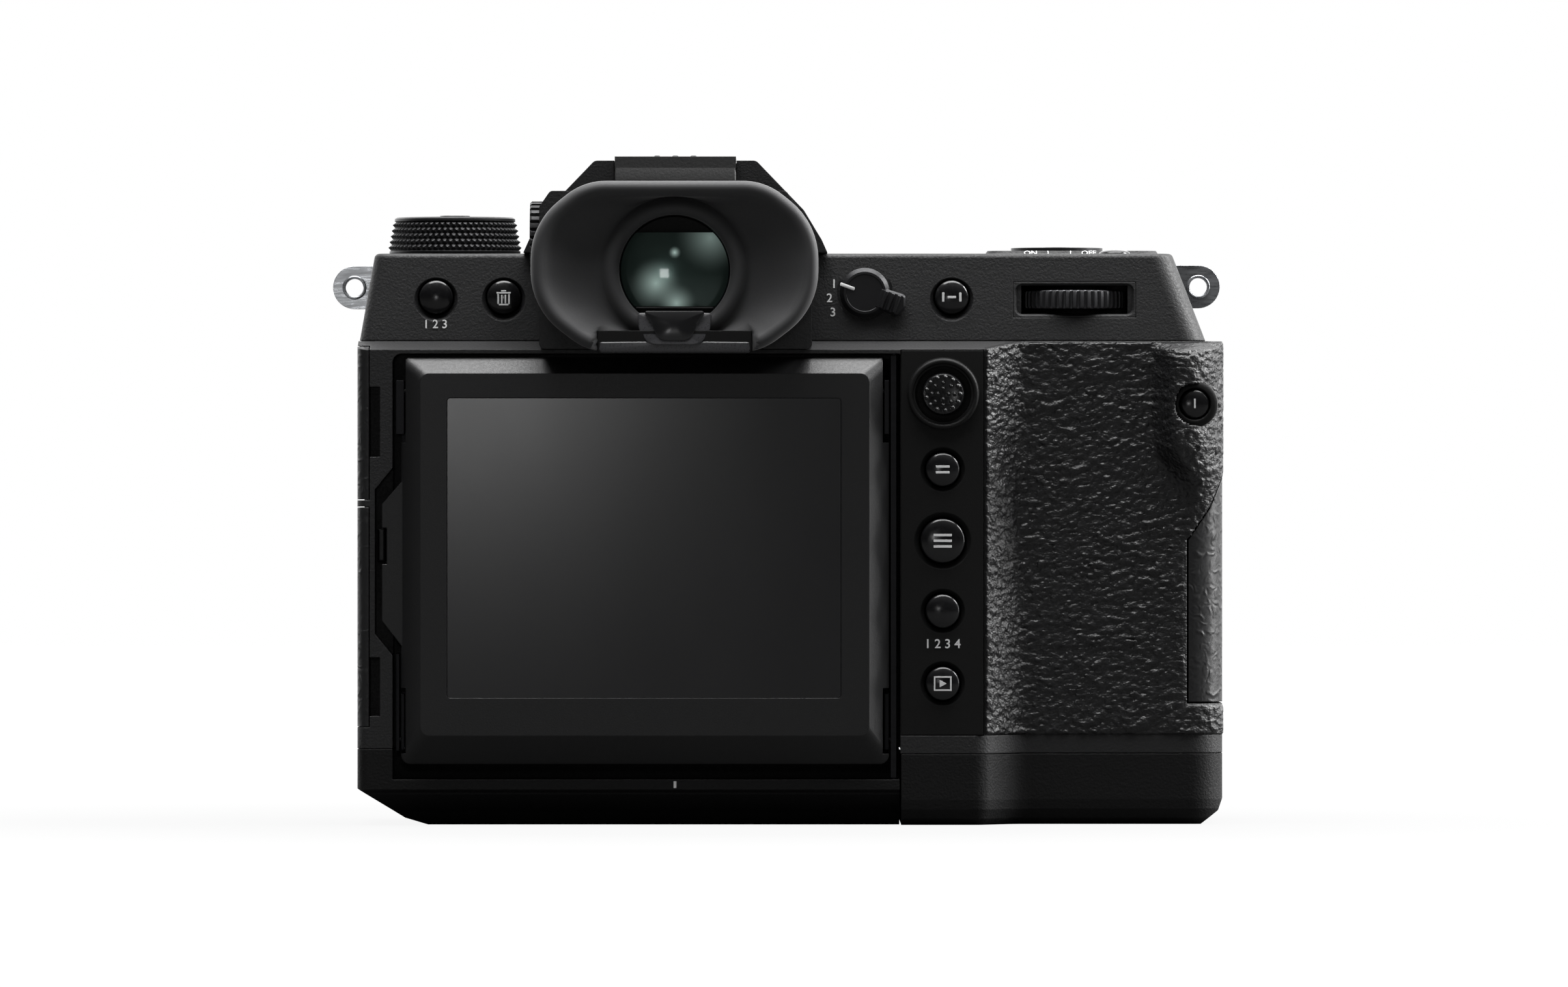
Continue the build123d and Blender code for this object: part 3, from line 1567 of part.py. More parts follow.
def shoe_rail(half_x, y, floor_z, floor_height, lip_height):
    """An accessory shoe: a floor, two sides and two lips over a slot."""
    lip_z = floor_z + floor_height + shoe_slot_height
    block((-half_x, half_x), y, (floor_z, lip_z + lip_height))
    block(
        (-shoe_slot_half_x, shoe_slot_half_x),
        (y[0] - cut_over, y[1] + cut_over),
        (floor_z + floor_height, lip_z),
        Mode.SUBTRACT,
    )
    block(
        (-shoe_lip_half_x, shoe_lip_half_x),
        (y[0] - cut_over, y[1] + cut_over),
        (lip_z, lip_z + 2 * lip_height),
        Mode.SUBTRACT,
    )


# Accessory shoe that the finder slides on to, closed in front by a stop
shoe_top_z = deck_z + shoe_floor + shoe_slot_height + shoe_lip
with BuildPart() as finder_shoe:
    shoe_rail(shoe_half_x, shoe_y, deck_z, shoe_floor, shoe_lip)
    block((-shoe_half_x, shoe_half_x), (shoe_y[1], shoe_stop_y), (deck_z, shoe_top_z))
save(finder_shoe, "finder_shoe")

# Viewfinder housing: the hump on the deck and the block behind the top cover
finder_back_y = -38.85
finder_step_y = -24.8
finder_front_y = 16.5
finder_nose_y = 9.0
finder_lift = 0.15
hump_half_x = 26.8
hump_height = 16.3
hump_top_z = deck_z + hump_height
hump_shares = [(1, 0), (0.96, 0.147), (0.843, 0.466), (0.53, 1)]
hump = placed((0, hump_half_x), (deck_z, hump_top_z), hump_shares)
hump_top_r = 1.2
finder_block_x = (-23.7, 24.0)
finder_block_drop = 5.6
finder_block_z = (ledge_z + finder_lift / 2, hump_top_z - finder_block_drop)
finder_block_r = 0.9
finder_block_shares = [(0, 0), (1, 0), (1, 0.765), (0.905, 1), (0.04, 1), (0, 0.9)]
foot_half_x = 9.15
foot_thickness = 1.8
foot_neck_half_x = 6.0
foot_gap = 0.15
shoe_room = 0.5
tunnel_half_x = 11.5
eye_height = 12.05
eye_z = seam_z + eye_height
tunnel_reach = (9.05, 8.95)
tunnel_z = (eye_z - tunnel_reach[0], eye_z + tunnel_reach[1])
tunnel_front_y = -26.4
eye_ring_r = 12.0
eye_bore_r = 9.6
eye_ring_y = (-42.0, -35.6)
eye_lens_y = (-39.2, -36.4)
display_y = (-27.9, -26.55)
diopter_x = (-25.4, -22.9)
diopter_y = -32.0
diopter_height = 17.7
diopter_z = seam_z + diopter_height
diopter_r = 6.6
diopter_teeth = 28
diopter_pin_r = 1.2
diopter_pin_reach = 1.2
hot_shoe_y = (-24.6, -4.3)
hot_shoe_depth = 4.3
hot_shoe_z = hump_top_z - hot_shoe_depth
hot_shoe_half_x = 10.6
hot_shoe_floor = 0.6
hump_points = [*hump, *[(-x, z) for x, z in reversed(hump)]]
hump_radii = [0, 3.0, 3.0, hump_top_r, hump_top_r, 3.0, 3.0, 0]

with BuildPart() as finder_housing:
    prism(rear_plane(finder_front_y), hump_points, hump_radii, finder_front_y - finder_step_y)
    prism(
        side_plane(-hump_half_x - cut_over),
        [
            (finder_front_y, deck_z + finder_lift),
            (finder_nose_y, hump_top_z),
            (finder_nose_y, hump_top_z + cut_over),
            (finder_front_y + cut_over, hump_top_z + cut_over),
            (finder_front_y + cut_over, deck_z + finder_lift),
        ],
        0,
        2 * (hump_half_x + cut_over),
        Mode.SUBTRACT,
    )
    prism(
        rear_plane(finder_step_y),
        placed(finder_block_x, finder_block_z, finder_block_shares),
        finder_block_r,
        finder_step_y - finder_back_y,
    )
    block(
        (-hump_half_x, hump_half_x),
        (finder_step_y, finder_front_y),
        (seam_z, deck_z + finder_lift),
        Mode.SUBTRACT,
    )
    prism(
        side_plane(finder_block_x[0] - cut_over),
        [
            (back_y - 2 * cut_over, finder_block_z[0] - cut_over),
            (back_y - 2 * cut_over, ledge_z + clearance - 2 * cut_over * ledge_slope),
            (finder_step_y + cut_over, seam_z + clearance + cut_over * ledge_slope),
            (finder_step_y + cut_over, finder_block_z[0] - cut_over),
        ],
        0,
        finder_block_x[1] - finder_block_x[0] + 2 * cut_over,
        Mode.SUBTRACT,
    )
    # Cavity for the body's shoe, open in front, with the foot that slides in it
    block(
        (-shoe_half_x - shoe_room, shoe_half_x + shoe_room),
        (shoe_y[0] - shoe_room, finder_front_y + cut_over),
        (deck_z, shoe_top_z + clearance),
        Mode.SUBTRACT,
    )
    foot_top_z = deck_z + shoe_floor + shoe_slot_height - foot_gap
    block(
        (-foot_half_x, foot_half_x),
        (shoe_y[0], shoe_y[1] - clearance),
        (foot_top_z - foot_thickness, foot_top_z),
    )
    block(
        (-foot_neck_half_x, foot_neck_half_x),
        (shoe_y[0], shoe_y[1] - clearance),
        (foot_top_z - foot_thickness / 2, shoe_top_z + 2 * clearance),
    )
    # Tunnel behind the eyepiece and the bore for its ring
    block((-tunnel_half_x, tunnel_half_x), (finder_back_y + wall, tunnel_front_y), tunnel_z, Mode.SUBTRACT)
    rod(
        eye_ring_r + seam_gap,
        (0, finder_back_y - cut_over, eye_z),
        (0, eye_ring_y[1] + seam_gap, eye_z),
        Mode.SUBTRACT,
    )
    rod(
        eye_bore_r,
        (0, finder_back_y - cut_over, eye_z),
        (0, tunnel_front_y - cut_over, eye_z),
        Mode.SUBTRACT,
    )
    # Pocket for the diopter wheel, and the recess for the upper shoe
    rod(
        diopter_r + clearance,
        (diopter_x[0] - cut_over, diopter_y, diopter_z),
        (diopter_x[1] + clearance, diopter_y, diopter_z),
        Mode.SUBTRACT,
    )
    rod(
        diopter_pin_r + pin_fit,
        (diopter_x[1], diopter_y, diopter_z),
        (diopter_x[1] + diopter_pin_reach + clearance, diopter_y, diopter_z),
        Mode.SUBTRACT,
    )
    block(
        (-hot_shoe_half_x - seam_gap, hot_shoe_half_x + seam_gap),
        (finder_step_y - cut_over, hot_shoe_y[1] + seam_gap),
        (hot_shoe_z, hump_top_z + cut_over),
        Mode.SUBTRACT,
    )
save(finder_housing, "finder_housing")

with BuildPart() as hot_shoe:
    shoe_rail(
        hot_shoe_half_x,
        hot_shoe_y,
        hot_shoe_z,
        hot_shoe_floor,
        hump_top_z - hot_shoe_z - hot_shoe_floor - shoe_slot_height - seam_gap,
    )
save(hot_shoe, "hot_shoe")

# Slide-in cover of the upper shoe
shoe_cover_proud = 0.7
shoe_cover_drop = 3.7
shoe_cover_top_z = hump_top_z + shoe_cover_proud
shoe_cover_low_z = hump_top_z - shoe_cover_drop
shoe_cover_plate = 0.6
shoe_cover_end = 1.2
hot_slot_low_z = hot_shoe_z + hot_shoe_floor
hot_slot_top_z = hot_slot_low_z + shoe_slot_height
with BuildPart() as shoe_cover:
    block(
        (-shoe_half_x, shoe_half_x),
        (finder_step_y - shoe_cover_end, finder_step_y - seam_gap),
        (shoe_cover_low_z, shoe_cover_top_z),
    )
    block(
        (-shoe_half_x, shoe_half_x),
        (finder_step_y - shoe_cover_end, hot_shoe_y[1] - shoe_room),
        (shoe_cover_top_z - shoe_cover_plate, shoe_cover_top_z),
    )
    block(
        (-foot_neck_half_x, foot_neck_half_x),
        (finder_step_y - seam_gap, hot_shoe_y[1] - shoe_room),
        (hot_slot_top_z - foot_thickness, shoe_cover_top_z - shoe_cover_plate),
    )
    block(
        (-foot_half_x, foot_half_x),
        (finder_step_y - shoe_cover_end, hot_shoe_y[1] - shoe_room),
        (hot_slot_top_z - foot_gap - foot_thickness, hot_slot_top_z - foot_gap),
    )
save(shoe_cover, "shoe_cover")

with BuildPart() as diopter_wheel:
    rod(diopter_r, (diopter_x[0], diopter_y, diopter_z), (diopter_x[1], diopter_y, diopter_z))
    chamfer(diopter_wheel.faces().sort_by(Axis.X)[0].edges(), button_edge)
    diopter_mid_x = (diopter_x[0] + diopter_x[1]) / 2
    with Locations(Plane(origin=(diopter_mid_x, diopter_y, diopter_z), z_dir=(1, 0, 0)).location):
        with PolarLocations(diopter_r, diopter_teeth):
            Box(
                2 * dial_tooth_depth,
                dial_tooth_depth,
                2 * (diopter_x[1] - diopter_x[0]),
                rotation=(0, 0, 45),
                mode=Mode.SUBTRACT,
            )
    rod(
        diopter_pin_r,
        (diopter_x[1], diopter_y, diopter_z),
        (diopter_x[1] + diopter_pin_reach, diopter_y, diopter_z),
    )
save(diopter_wheel, "diopter_wheel")

# Eyepiece ring with the sensor window below it, its lens and the finder's display
eye_plate_half_x = 13.45
eye_plate_height = 3.6
eye_plate_drop = 14.15
eye_plate_z = (eye_z - eye_plate_drop, eye_z - eye_plate_drop + eye_plate_height)
eye_plate_y = (-45.0, -39.0)
eye_web_half_x = 6.0
eye_web_top_z = tunnel_z[0]
eye_web_y = -41.0


with BuildPart() as eyepiece_frame:
    rod(eye_ring_r, (0, eye_ring_y[1], eye_z), (0, eye_ring_y[0], eye_z))
    block((-eye_plate_half_x, eye_plate_half_x), eye_plate_y, eye_plate_z)
    block((-eye_web_half_x, eye_web_half_x), (eye_web_y, eye_plate_y[1]), (eye_plate_z[1], eye_web_top_z))
    rod(
        eye_bore_r,
        (0, eye_ring_y[0] - cut_over, eye_z),
        (0, eye_ring_y[1] + cut_over, eye_z),
        Mode.SUBTRACT,
    )
save(eyepiece_frame, "eyepiece_frame")

with BuildPart() as eyepiece_lens:
    rod(eye_bore_r - seam_gap, (0, eye_lens_y[1], eye_z), (0, eye_lens_y[0], eye_z))
save(eyepiece_lens, "eyepiece_lens")

with BuildPart() as finder_display:
    block(
        (-tunnel_half_x + seam_gap, tunnel_half_x - seam_gap),
        display_y,
        (tunnel_z[0] + seam_gap, tunnel_z[1] - seam_gap),
    )
save(finder_display, "finder_display")

# Rubber eyecup: a flared frame round a bowl that ends at the eyepiece ring
cup_rear_y = -47.4
cup_front_y = -39.0
cup_half_x = 25.1
cup_reach = (14.45, 15.55)
cup_z = (eye_z - cup_reach[0], eye_z + cup_reach[1])
cup_shares = [(-0.52, 0), (0.52, 0), (1, 0.31), (1, 0.7), (0.52, 1), (-0.52, 1), (-1, 0.7), (-1, 0.31)]
cup_points = placed((0, cup_half_x), cup_z, cup_shares)
cup_radii = [4.0, 4.0, 5.0, 5.0, 4.0, 4.0, 5.0, 5.0]
cup_flare = 0.5
cup_rim = 2.4
cup_floor_y = -42.4
cup_floor_inset = 4.6
cup_hole_r = 12.15
with BuildPart() as eyecup:
    loft(
        [
            outline(rear_plane(cup_front_y), cup_points, cup_radii, cup_flare),
            outline(rear_plane(cup_rear_y), cup_points, cup_radii),
        ],
        ruled=True,
    )
    loft(
        [
            outline(rear_plane(cup_floor_y), cup_points, cup_radii, cup_floor_inset),
            outline(rear_plane(cup_rear_y - cut_over), cup_points, cup_radii, cup_rim - cut_over),
        ],
        ruled=True,
        mode=Mode.SUBTRACT,
    )
    rod(cup_hole_r, (0, cup_rear_y, eye_z), (0, cup_front_y + cut_over, eye_z), Mode.SUBTRACT)
    block(
        (-eye_plate_half_x - seam_gap, eye_plate_half_x + seam_gap),
        (eye_plate_y[0] - seam_gap, cup_front_y + cut_over),
        (cup_z[0] - cut_over, eye_plate_z[1] + seam_gap),
        Mode.SUBTRACT,
    )
    block(
        (-eye_web_half_x - seam_gap, eye_web_half_x + seam_gap),
        (eye_plate_y[0] - seam_gap, cup_front_y + cut_over),
        (cup_z[0], eye_z),
        Mode.SUBTRACT,
    )
save(eyecup, "eyecup")

# Screen: frame that swings about the well's right edge, bracket that tips down, panel that tips up
frame_plate_y = (-25.6, -24.0)
frame_plate_x = (-46.0, 38.8)
frame_plate_z = (24.0, 68.0)
frame_wall_x = (37.8, 38.8)
frame_wall_y = (-32.9, -24.0)
frame_wall_gap = 0.3
cheek_plate_x = (-48.95, -48.35)
cheek_plate_y = (-31.2, -25.6)
cheek_plate_z = (13.0, 30.0)
frame_bridge_x = -48.8
lower_hinge_y = -29.5
lower_hinge_z = 14.8
upper_hinge_y = -31.0
upper_hinge_z = 76.0
hinge_pin_r = 0.5
bracket_y = (-27.6, -26.1)
bracket_z = (16.5, 69.5)
lower_ear_y = (-31.0, -26.1)
lower_ear_z = (13.2, 23.0)
upper_ear_y = (-32.9, -26.1)
upper_ear_z = (68.5, 77.9)
left_ear_x = (-48.05, -47.5)
upper_left_ear_x = (-48.9, -47.5)
right_ear_x = (36.7, 37.5)
screen_x = (-48.0, 37.5)
screen_z = (10.7, 82.0)
screen_y = (-33.0, -28.0)
screen_r = 1.6
screen_face_x = (-44.6, 34.0)
screen_face_z = (15.7, 79.1)
screen_face_y = -36.0
glass_x = (-39.9, 29.1)
glass_z = (22.3, 74.8)
glass_thickness = 0.9
glass_r = 0.6
screen_notch_left_x = -47.2
screen_notch_right_x = 36.4
upper_notch_z = 67.0
lower_notch_z = (12.5, 24.0)
back_chamfer = 2.2
handle_left_x = -51.35
handle_notch_x = -50.5
handle_notch_z = (45.7, 52.1)
handle_y = (-33.2, -31.3)
handle_z = (30.5, 61.0)
handle_outer_z = (35.8, 56.2)
screen_latch_x = (-52.2, -50.8)
screen_latch_y = (-31.0, -27.3)
screen_latch_z = (46.1, 52.0)

with BuildPart() as swing_frame:
    block(frame_plate_x, frame_plate_y, frame_plate_z)
    block(frame_wall_x, frame_wall_y, (well_bottom_z + frame_wall_gap, well_top_z - frame_wall_gap))
    block(cheek_plate_x, cheek_plate_y, cheek_plate_z)
    block((frame_bridge_x, frame_plate_x[0]), frame_plate_y, (frame_plate_z[0], cheek_plate_z[1]))
    rod(
        swing_pin_r,
        (swing_x, swing_y, well_bottom_z + 2 * frame_wall_gap),
        (swing_x, swing_y, well_bottom_z - 1.6 * pin_seat),
    )
    rod(
        swing_pin_r,
        (swing_x, swing_y, well_top_z - 2 * frame_wall_gap),
        (swing_x, swing_y, well_top_z + 0.8 * pin_seat),
    )
    rod(
        hinge_pin_r + pin_fit,
        (cheek_plate_x[0] - cut_over, lower_hinge_y, lower_hinge_z),
        (cheek_plate_x[1] + cut_over, lower_hinge_y, lower_hinge_z),
        Mode.SUBTRACT,
    )
    rod(
        hinge_pin_r + pin_fit,
        (frame_wall_x[0] - cut_over, lower_hinge_y, lower_hinge_z),
        (frame_wall_x[1] + cut_over, lower_hinge_y, lower_hinge_z),
        Mode.SUBTRACT,
    )
save(swing_frame, "swing_frame")

with BuildPart() as tilt_bracket:
    block((left_ear_x[0], right_ear_x[1]), bracket_y, bracket_z)
    for ear_x in (left_ear_x, right_ear_x):
        block(ear_x, lower_ear_y, lower_ear_z)
    for ear_x in (upper_left_ear_x, right_ear_x):
        block(ear_x, upper_ear_y, upper_ear_z)
    rod(
        hinge_pin_r,
        (left_ear_x[1], lower_hinge_y, lower_hinge_z),
        (cheek_plate_x[0], lower_hinge_y, lower_hinge_z),
    )
    rod(
        hinge_pin_r,
        (right_ear_x[0], lower_hinge_y, lower_hinge_z),
        (frame_wall_x[1] - clearance, lower_hinge_y, lower_hinge_z),
    )
    for ear_x in (upper_left_ear_x, right_ear_x):
        rod(
            hinge_pin_r + pin_fit,
            (ear_x[0] - cut_over, upper_hinge_y, upper_hinge_z),
            (ear_x[1] + cut_over, upper_hinge_y, upper_hinge_z),
            Mode.SUBTRACT,
        )
save(tilt_bracket, "tilt_bracket")

with BuildPart() as screen_housing:
    prism(rear_plane(screen_y[1]), corners(screen_x, screen_z), screen_r, screen_y[1] - screen_y[0])
    loft(
        [
            outline(rear_plane(screen_y[0]), corners(screen_x, screen_z), screen_r),
            outline(rear_plane(screen_face_y), corners(screen_face_x, screen_face_z), screen_r),
        ],
        ruled=True,
    )
    prism(
        side_plane(screen_x[0] - cut_over),
        [
            (screen_y[1] - back_chamfer, screen_z[0] - cut_over),
            (screen_y[1] - back_chamfer, screen_z[0]),
            (screen_y[1], screen_z[0] + back_chamfer),
            (screen_y[1] + cut_over, screen_z[0] + back_chamfer),
            (screen_y[1] + cut_over, screen_z[0] - cut_over),
        ],
        0,
        screen_x[1] - screen_x[0] + 2 * cut_over,
        Mode.SUBTRACT,
    )
    for notch_side_x in (
        (screen_x[0] - cut_over, screen_notch_left_x),
        (screen_notch_right_x, screen_x[1] + cut_over),
    ):
        block(
            notch_side_x,
            (screen_face_y, screen_y[1] + cut_over),
            (upper_notch_z, screen_z[1] + cut_over),
            Mode.SUBTRACT,
        )
        block(notch_side_x, (screen_face_y, screen_y[1] + cut_over), lower_notch_z, Mode.SUBTRACT)
    prism(
        rear_plane(handle_y[1]),
        [
            (screen_notch_left_x, handle_z[0]),
            (screen_notch_left_x, handle_z[1]),
            (handle_left_x, handle_outer_z[1]),
            (handle_left_x, handle_notch_z[1]),
            (handle_notch_x, handle_notch_z[1]),
            (handle_notch_x, handle_notch_z[0]),
            (handle_left_x, handle_notch_z[0]),
            (handle_left_x, handle_outer_z[0]),
        ],
        0,
        handle_y[1] - handle_y[0],
    )
    for start_x, end_x in (
        (screen_notch_left_x, upper_left_ear_x[0]),
        (screen_notch_right_x, right_ear_x[1]),
    ):
        rod(hinge_pin_r, (start_x, upper_hinge_y, upper_hinge_z), (end_x, upper_hinge_y, upper_hinge_z))
    prism(
        rear_plane(screen_face_y + glass_thickness),
        corners(glass_x, glass_z),
        glass_r,
        glass_thickness + cut_over,
        Mode.SUBTRACT,
    )
save(screen_housing, "screen_housing")

with BuildPart() as screen_glass:
    extrude(
        outline(
            rear_plane(screen_face_y + glass_thickness),
            corners(glass_x, glass_z),
            glass_r,
            seam_gap / 2,
        ),
        amount=glass_thickness,
    )
save(screen_glass, "screen_glass")

with BuildPart() as screen_latch:
    block(screen_latch_x, screen_latch_y, screen_latch_z)
    chamfer(screen_latch.faces().sort_by(Axis.Y)[0].edges(), button_edge)
save(screen_latch, "screen_latch")
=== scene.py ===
"""Looks of a medium format camera body seen from behind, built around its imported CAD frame.

The frame is in metres: X to the right as seen from behind, Y towards the lens and Z up. Sizes here are
written in millimetres, and turned to metres where a piece's mesh is filled.
"""

import bmesh
import bpy
import numpy as np
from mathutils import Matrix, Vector


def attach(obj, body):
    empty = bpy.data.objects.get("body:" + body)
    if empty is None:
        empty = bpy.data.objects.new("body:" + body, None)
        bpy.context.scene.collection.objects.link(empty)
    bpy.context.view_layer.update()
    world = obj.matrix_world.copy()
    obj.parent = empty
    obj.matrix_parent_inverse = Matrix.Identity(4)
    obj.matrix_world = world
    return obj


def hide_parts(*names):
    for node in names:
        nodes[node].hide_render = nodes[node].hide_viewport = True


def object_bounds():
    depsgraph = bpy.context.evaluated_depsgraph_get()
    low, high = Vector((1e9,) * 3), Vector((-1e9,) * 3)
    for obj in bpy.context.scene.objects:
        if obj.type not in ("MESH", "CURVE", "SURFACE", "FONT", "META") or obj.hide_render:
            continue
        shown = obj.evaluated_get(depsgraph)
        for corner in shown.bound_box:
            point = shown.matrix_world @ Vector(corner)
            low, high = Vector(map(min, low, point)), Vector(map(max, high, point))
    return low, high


MM = 0.001
IMAGE_WIDTH = 2408
IMAGE_HEIGHT = 1515
TURN = 2 * np.pi

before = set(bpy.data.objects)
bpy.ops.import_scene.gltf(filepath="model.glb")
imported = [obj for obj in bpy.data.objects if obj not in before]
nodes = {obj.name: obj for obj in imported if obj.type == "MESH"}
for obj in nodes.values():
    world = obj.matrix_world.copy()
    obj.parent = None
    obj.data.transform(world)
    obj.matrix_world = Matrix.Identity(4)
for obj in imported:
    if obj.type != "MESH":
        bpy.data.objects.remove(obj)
cad_low, cad_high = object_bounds()


# Colour and shader building


def srgb(code):
    """The linear colour of a hex value, with full cover."""
    parts = [int(code[i : i + 2], 16) / 255 for i in (1, 3, 5)]
    return [p / 12.92 if p <= 0.04045 else ((p + 0.055) / 1.055) ** 2.4 for p in parts] + [1.0]


def fill(tree, made, inputs):
    """Gives each of a node's sockets a value, or links it to another node's socket."""
    for socket, value in inputs.items():
        if isinstance(value, bpy.types.NodeSocket):
            tree.links.new(value, made.inputs[socket])
        else:
            made.inputs[socket].default_value = value


def node(tree, kind, inputs=(), **settings):
    """Adds a node with its settings and its sockets' values and links."""
    made = tree.nodes.new("ShaderNode" + kind)
    for name, value in settings.items():
        setattr(made, name, value)
    fill(tree, made, dict(inputs))
    return made


def new_material(name):
    """An empty material with its tree, its object coordinates and its Principled shader."""
    material = bpy.data.materials.new(name)
    material.use_nodes = True
    tree = material.node_tree
    tree.nodes.clear()
    place = node(tree, "TexCoord").outputs["Object"]
    shader = node(tree, "BsdfPrincipled")
    node(tree, "OutputMaterial", {"Surface": shader.outputs["BSDF"]})
    return material, tree, place, shader


def grains(tree, place, size, detail=2.0, rough=0.5, stretch=(1, 1, 1)):
    """Noise whose lumps are about size millimetres across, longer where stretch is under 1."""
    moved = node(tree, "Mapping", {"Vector": place, "Scale": stretch}).outputs["Vector"]
    inputs = {"Vector": moved, "Scale": 1 / (size * MM), "Detail": detail, "Roughness": rough}
    return node(tree, "TexNoise", inputs).outputs["Fac"]


# Nearly all of the noise pattern's values lie between these
NOISE_LOW = 0.3
NOISE_HIGH = 0.7


def vary(tree, shader, cloud, colours, grain, roughness):
    """Varies a shader's colour between two hex values by one pattern, and its roughness by another."""
    mixed = {"Factor": cloud, 6: srgb(colours[0]), 7: srgb(colours[1])}
    colour = node(tree, "Mix", mixed, data_type="RGBA").outputs[2]
    low, high = roughness
    scaled = {"Value": grain, "From Min": NOISE_LOW, "From Max": NOISE_HIGH, "To Min": low, "To Max": high}
    rough = node(tree, "MapRange", scaled).outputs["Result"]
    fill(tree, shader, {"Base Color": colour, "Roughness": rough})


def relief(tree, height, depth, edge=0.25):
    """Normals of a pattern depth millimetres deep, over edges that look rounded by edge millimetres."""
    soft = node(tree, "Bevel", {"Radius": edge * MM}, samples=4).outputs["Normal"]
    return node(tree, "Bump", {"Height": height, "Distance": depth * MM, "Normal": soft}).outputs["Normal"]


def painted_magnesium(name, colour, lighter, shine):
    """Die-cast magnesium under black powder coat: fine pebbles that each catch a dull point of light."""
    material, tree, place, shader = new_material(name)
    pebble = grains(tree, place, 0.42, 2.0, 0.55)
    cloud = grains(tree, place, 18.0)
    vary(tree, shader, cloud, (colour, lighter), pebble, (0.5, 0.64))
    fill(tree, shader, {"Specular IOR Level": shine, "Normal": relief(tree, pebble, 0.085)})
    return material


def grip_leatherette(name="embossed_nitrile_rubber", creases=True):
    """Nitrile rubber embossed like leather, with painted shade that darkens its creases and a painted sheen
    that lightens its ridges.

    On a piece whose mesh holds the creases, the material adds pebbles alone.
    """
    material, tree, place, shader = new_material(name)
    fine = grains(tree, place, 0.35, 3.0, 0.6)
    crease_size = 1.5 * MM
    inputs = {"Vector": place, "Scale": 1 / crease_size, "Detail": 3.0, "Roughness": 0.5, "Distortion": 0.6}
    ridges = node(tree, "TexNoise", inputs, noise_type="RIDGED_MULTIFRACTAL").outputs["Fac"]
    height = ridges if creases else grains(tree, place, 0.6, 1.0, 0.5, (0.7, 1, 1))
    # Painted shade and sheen: the colour goes darker in the creases and lighter on the ridges
    lighter = node(tree, "MapRange", {"Value": ridges, "From Min": 0.2, "From Max": 1.4}).outputs["Result"]
    vary(tree, shader, lighter, ("#121213", "#1e1e1f"), fine, (0.38, 0.5))
    normal = relief(tree, height, 0.2 if creases else 0.32, 0.3)
    fill(tree, shader, {"Specular IOR Level": 0.45, "Normal": normal})
    return material


def eyecup_rubber():
    """Soft moulded elastomer: an even, slightly grey bloom over fine dust, and no gloss."""
    material, tree, place, shader = new_material("moulded_elastomer")
    dust = grains(tree, place, 0.3, 3.0, 0.6)
    bloom = grains(tree, place, 9.0)
    vary(tree, shader, bloom, ("#303031", "#353536"), dust, (0.56, 0.68))
    values = {
        "Specular IOR Level": 0.35,
        "Sheen Weight": 0.12,
        "Sheen Roughness": 0.5,
        "Normal": relief(tree, dust, 0.012, 0.1),
    }
    fill(tree, shader, values)
    return material


def textured_abs(name, colour, lighter, roughness, size=0.3, depth=0.02, shine=0.42):
    """Spark-eroded ABS: an even satin black. Its grain is too fine to show, so it is drawn coarser."""
    material, tree, place, shader = new_material(name)
    grain = grains(tree, place, size, 2.0, 0.6)
    cloud = grains(tree, place, 14.0)
    vary(tree, shader, cloud, (colour, lighter), grain, (roughness - 0.06, roughness + 0.06))
    fill(tree, shader, {"Specular IOR Level": shine, "Normal": relief(tree, grain, depth)})
    return material


def anodised_aluminium(name, colour, lighter):
    """Turned aluminium, dyed black: faint tool lines, drawn coarse enough to show, and a dry, cool shine."""
    material, tree, place, shader = new_material(name)
    lines = grains(tree, place, 0.5, 3.0, 0.6, (1, 1, 6))
    vary(tree, shader, lines, (colour, lighter), lines, (0.36, 0.5))
    fill(tree, shader, {"Metallic": 0.6, "Normal": relief(tree, lines, 0.01, 0.12)})
    return material


def steel(name, colour, light, roughness, lines=0.4):
    """Steel with a drawn finish: lines along X, drawn coarser than they are, that spread its highlights."""
    material, tree, place, shader = new_material(name)
    brushed = grains(tree, place, lines, 3.0, 0.6, (0.12, 1, 1))
    vary(tree, shader, brushed, (colour, light), brushed, (roughness - 0.07, roughness + 0.07))
    fill(tree, shader, {"Metallic": 1.0, "Normal": relief(tree, brushed, 0.006, 0.15)})
    return material


def screen_cover():
    """Hardened glass over a switched-off display, etched so that its reflections are soft."""
    material, tree, place, shader = new_material("hardened_cover_glass")
    smear = grains(tree, place, 26.0, 3.0, 0.6, (1, 1, 0.5))
    vary(tree, shader, smear, ("#161617", "#19191a"), smear, (0.19, 0.21))
    fill(tree, shader, {"IOR": 1.52})
    return material


# Painted highlights on the eyepiece lens, glowing spots that stand in for reflections of the lamps: x, z, how
# far each reaches and how strong it is
painted_lens_highlights = [
    (0.0, 100.2, 1.2, 0.6),
    (-3.3, 94.8, 4.8, 0.42),
    (0.3, 91.3, 3.8, 0.42),
    (6.2, 102.8, 6.5, 0.24),
]


def painted_highlight_strength(tree, place):
    """How strongly the painted highlights make a lens glow at a place: the sum of its glowing spots.

    Each falls off by the square of the share of its reach that is left.
    """
    across_and_up = (1, 0, 1)
    flat = node(tree, "VectorMath", {0: place, 1: across_and_up}, operation="MULTIPLY").outputs[0]
    total = 0.0
    for x, z, reach, strength in painted_lens_highlights:
        middle = (x * MM, 0, z * MM)
        offset = node(tree, "VectorMath", {0: flat, 1: middle}, operation="SUBTRACT").outputs[0]
        far = node(tree, "VectorMath", {0: offset}, operation="LENGTH").outputs["Value"]
        falling = {"Value": far, "From Min": 0.0, "From Max": reach * MM, "To Min": 1.0, "To Max": 0.0}
        near = node(tree, "MapRange", falling).outputs["Result"]
        squared = node(tree, "Math", {0: near, 1: 2.0}, operation="POWER").outputs[0]
        part = node(tree, "Math", {0: squared, 1: strength}, operation="MULTIPLY").outputs[0]
        total = node(tree, "Math", {0: part, 1: total}, operation="ADD").outputs[0]
    return total


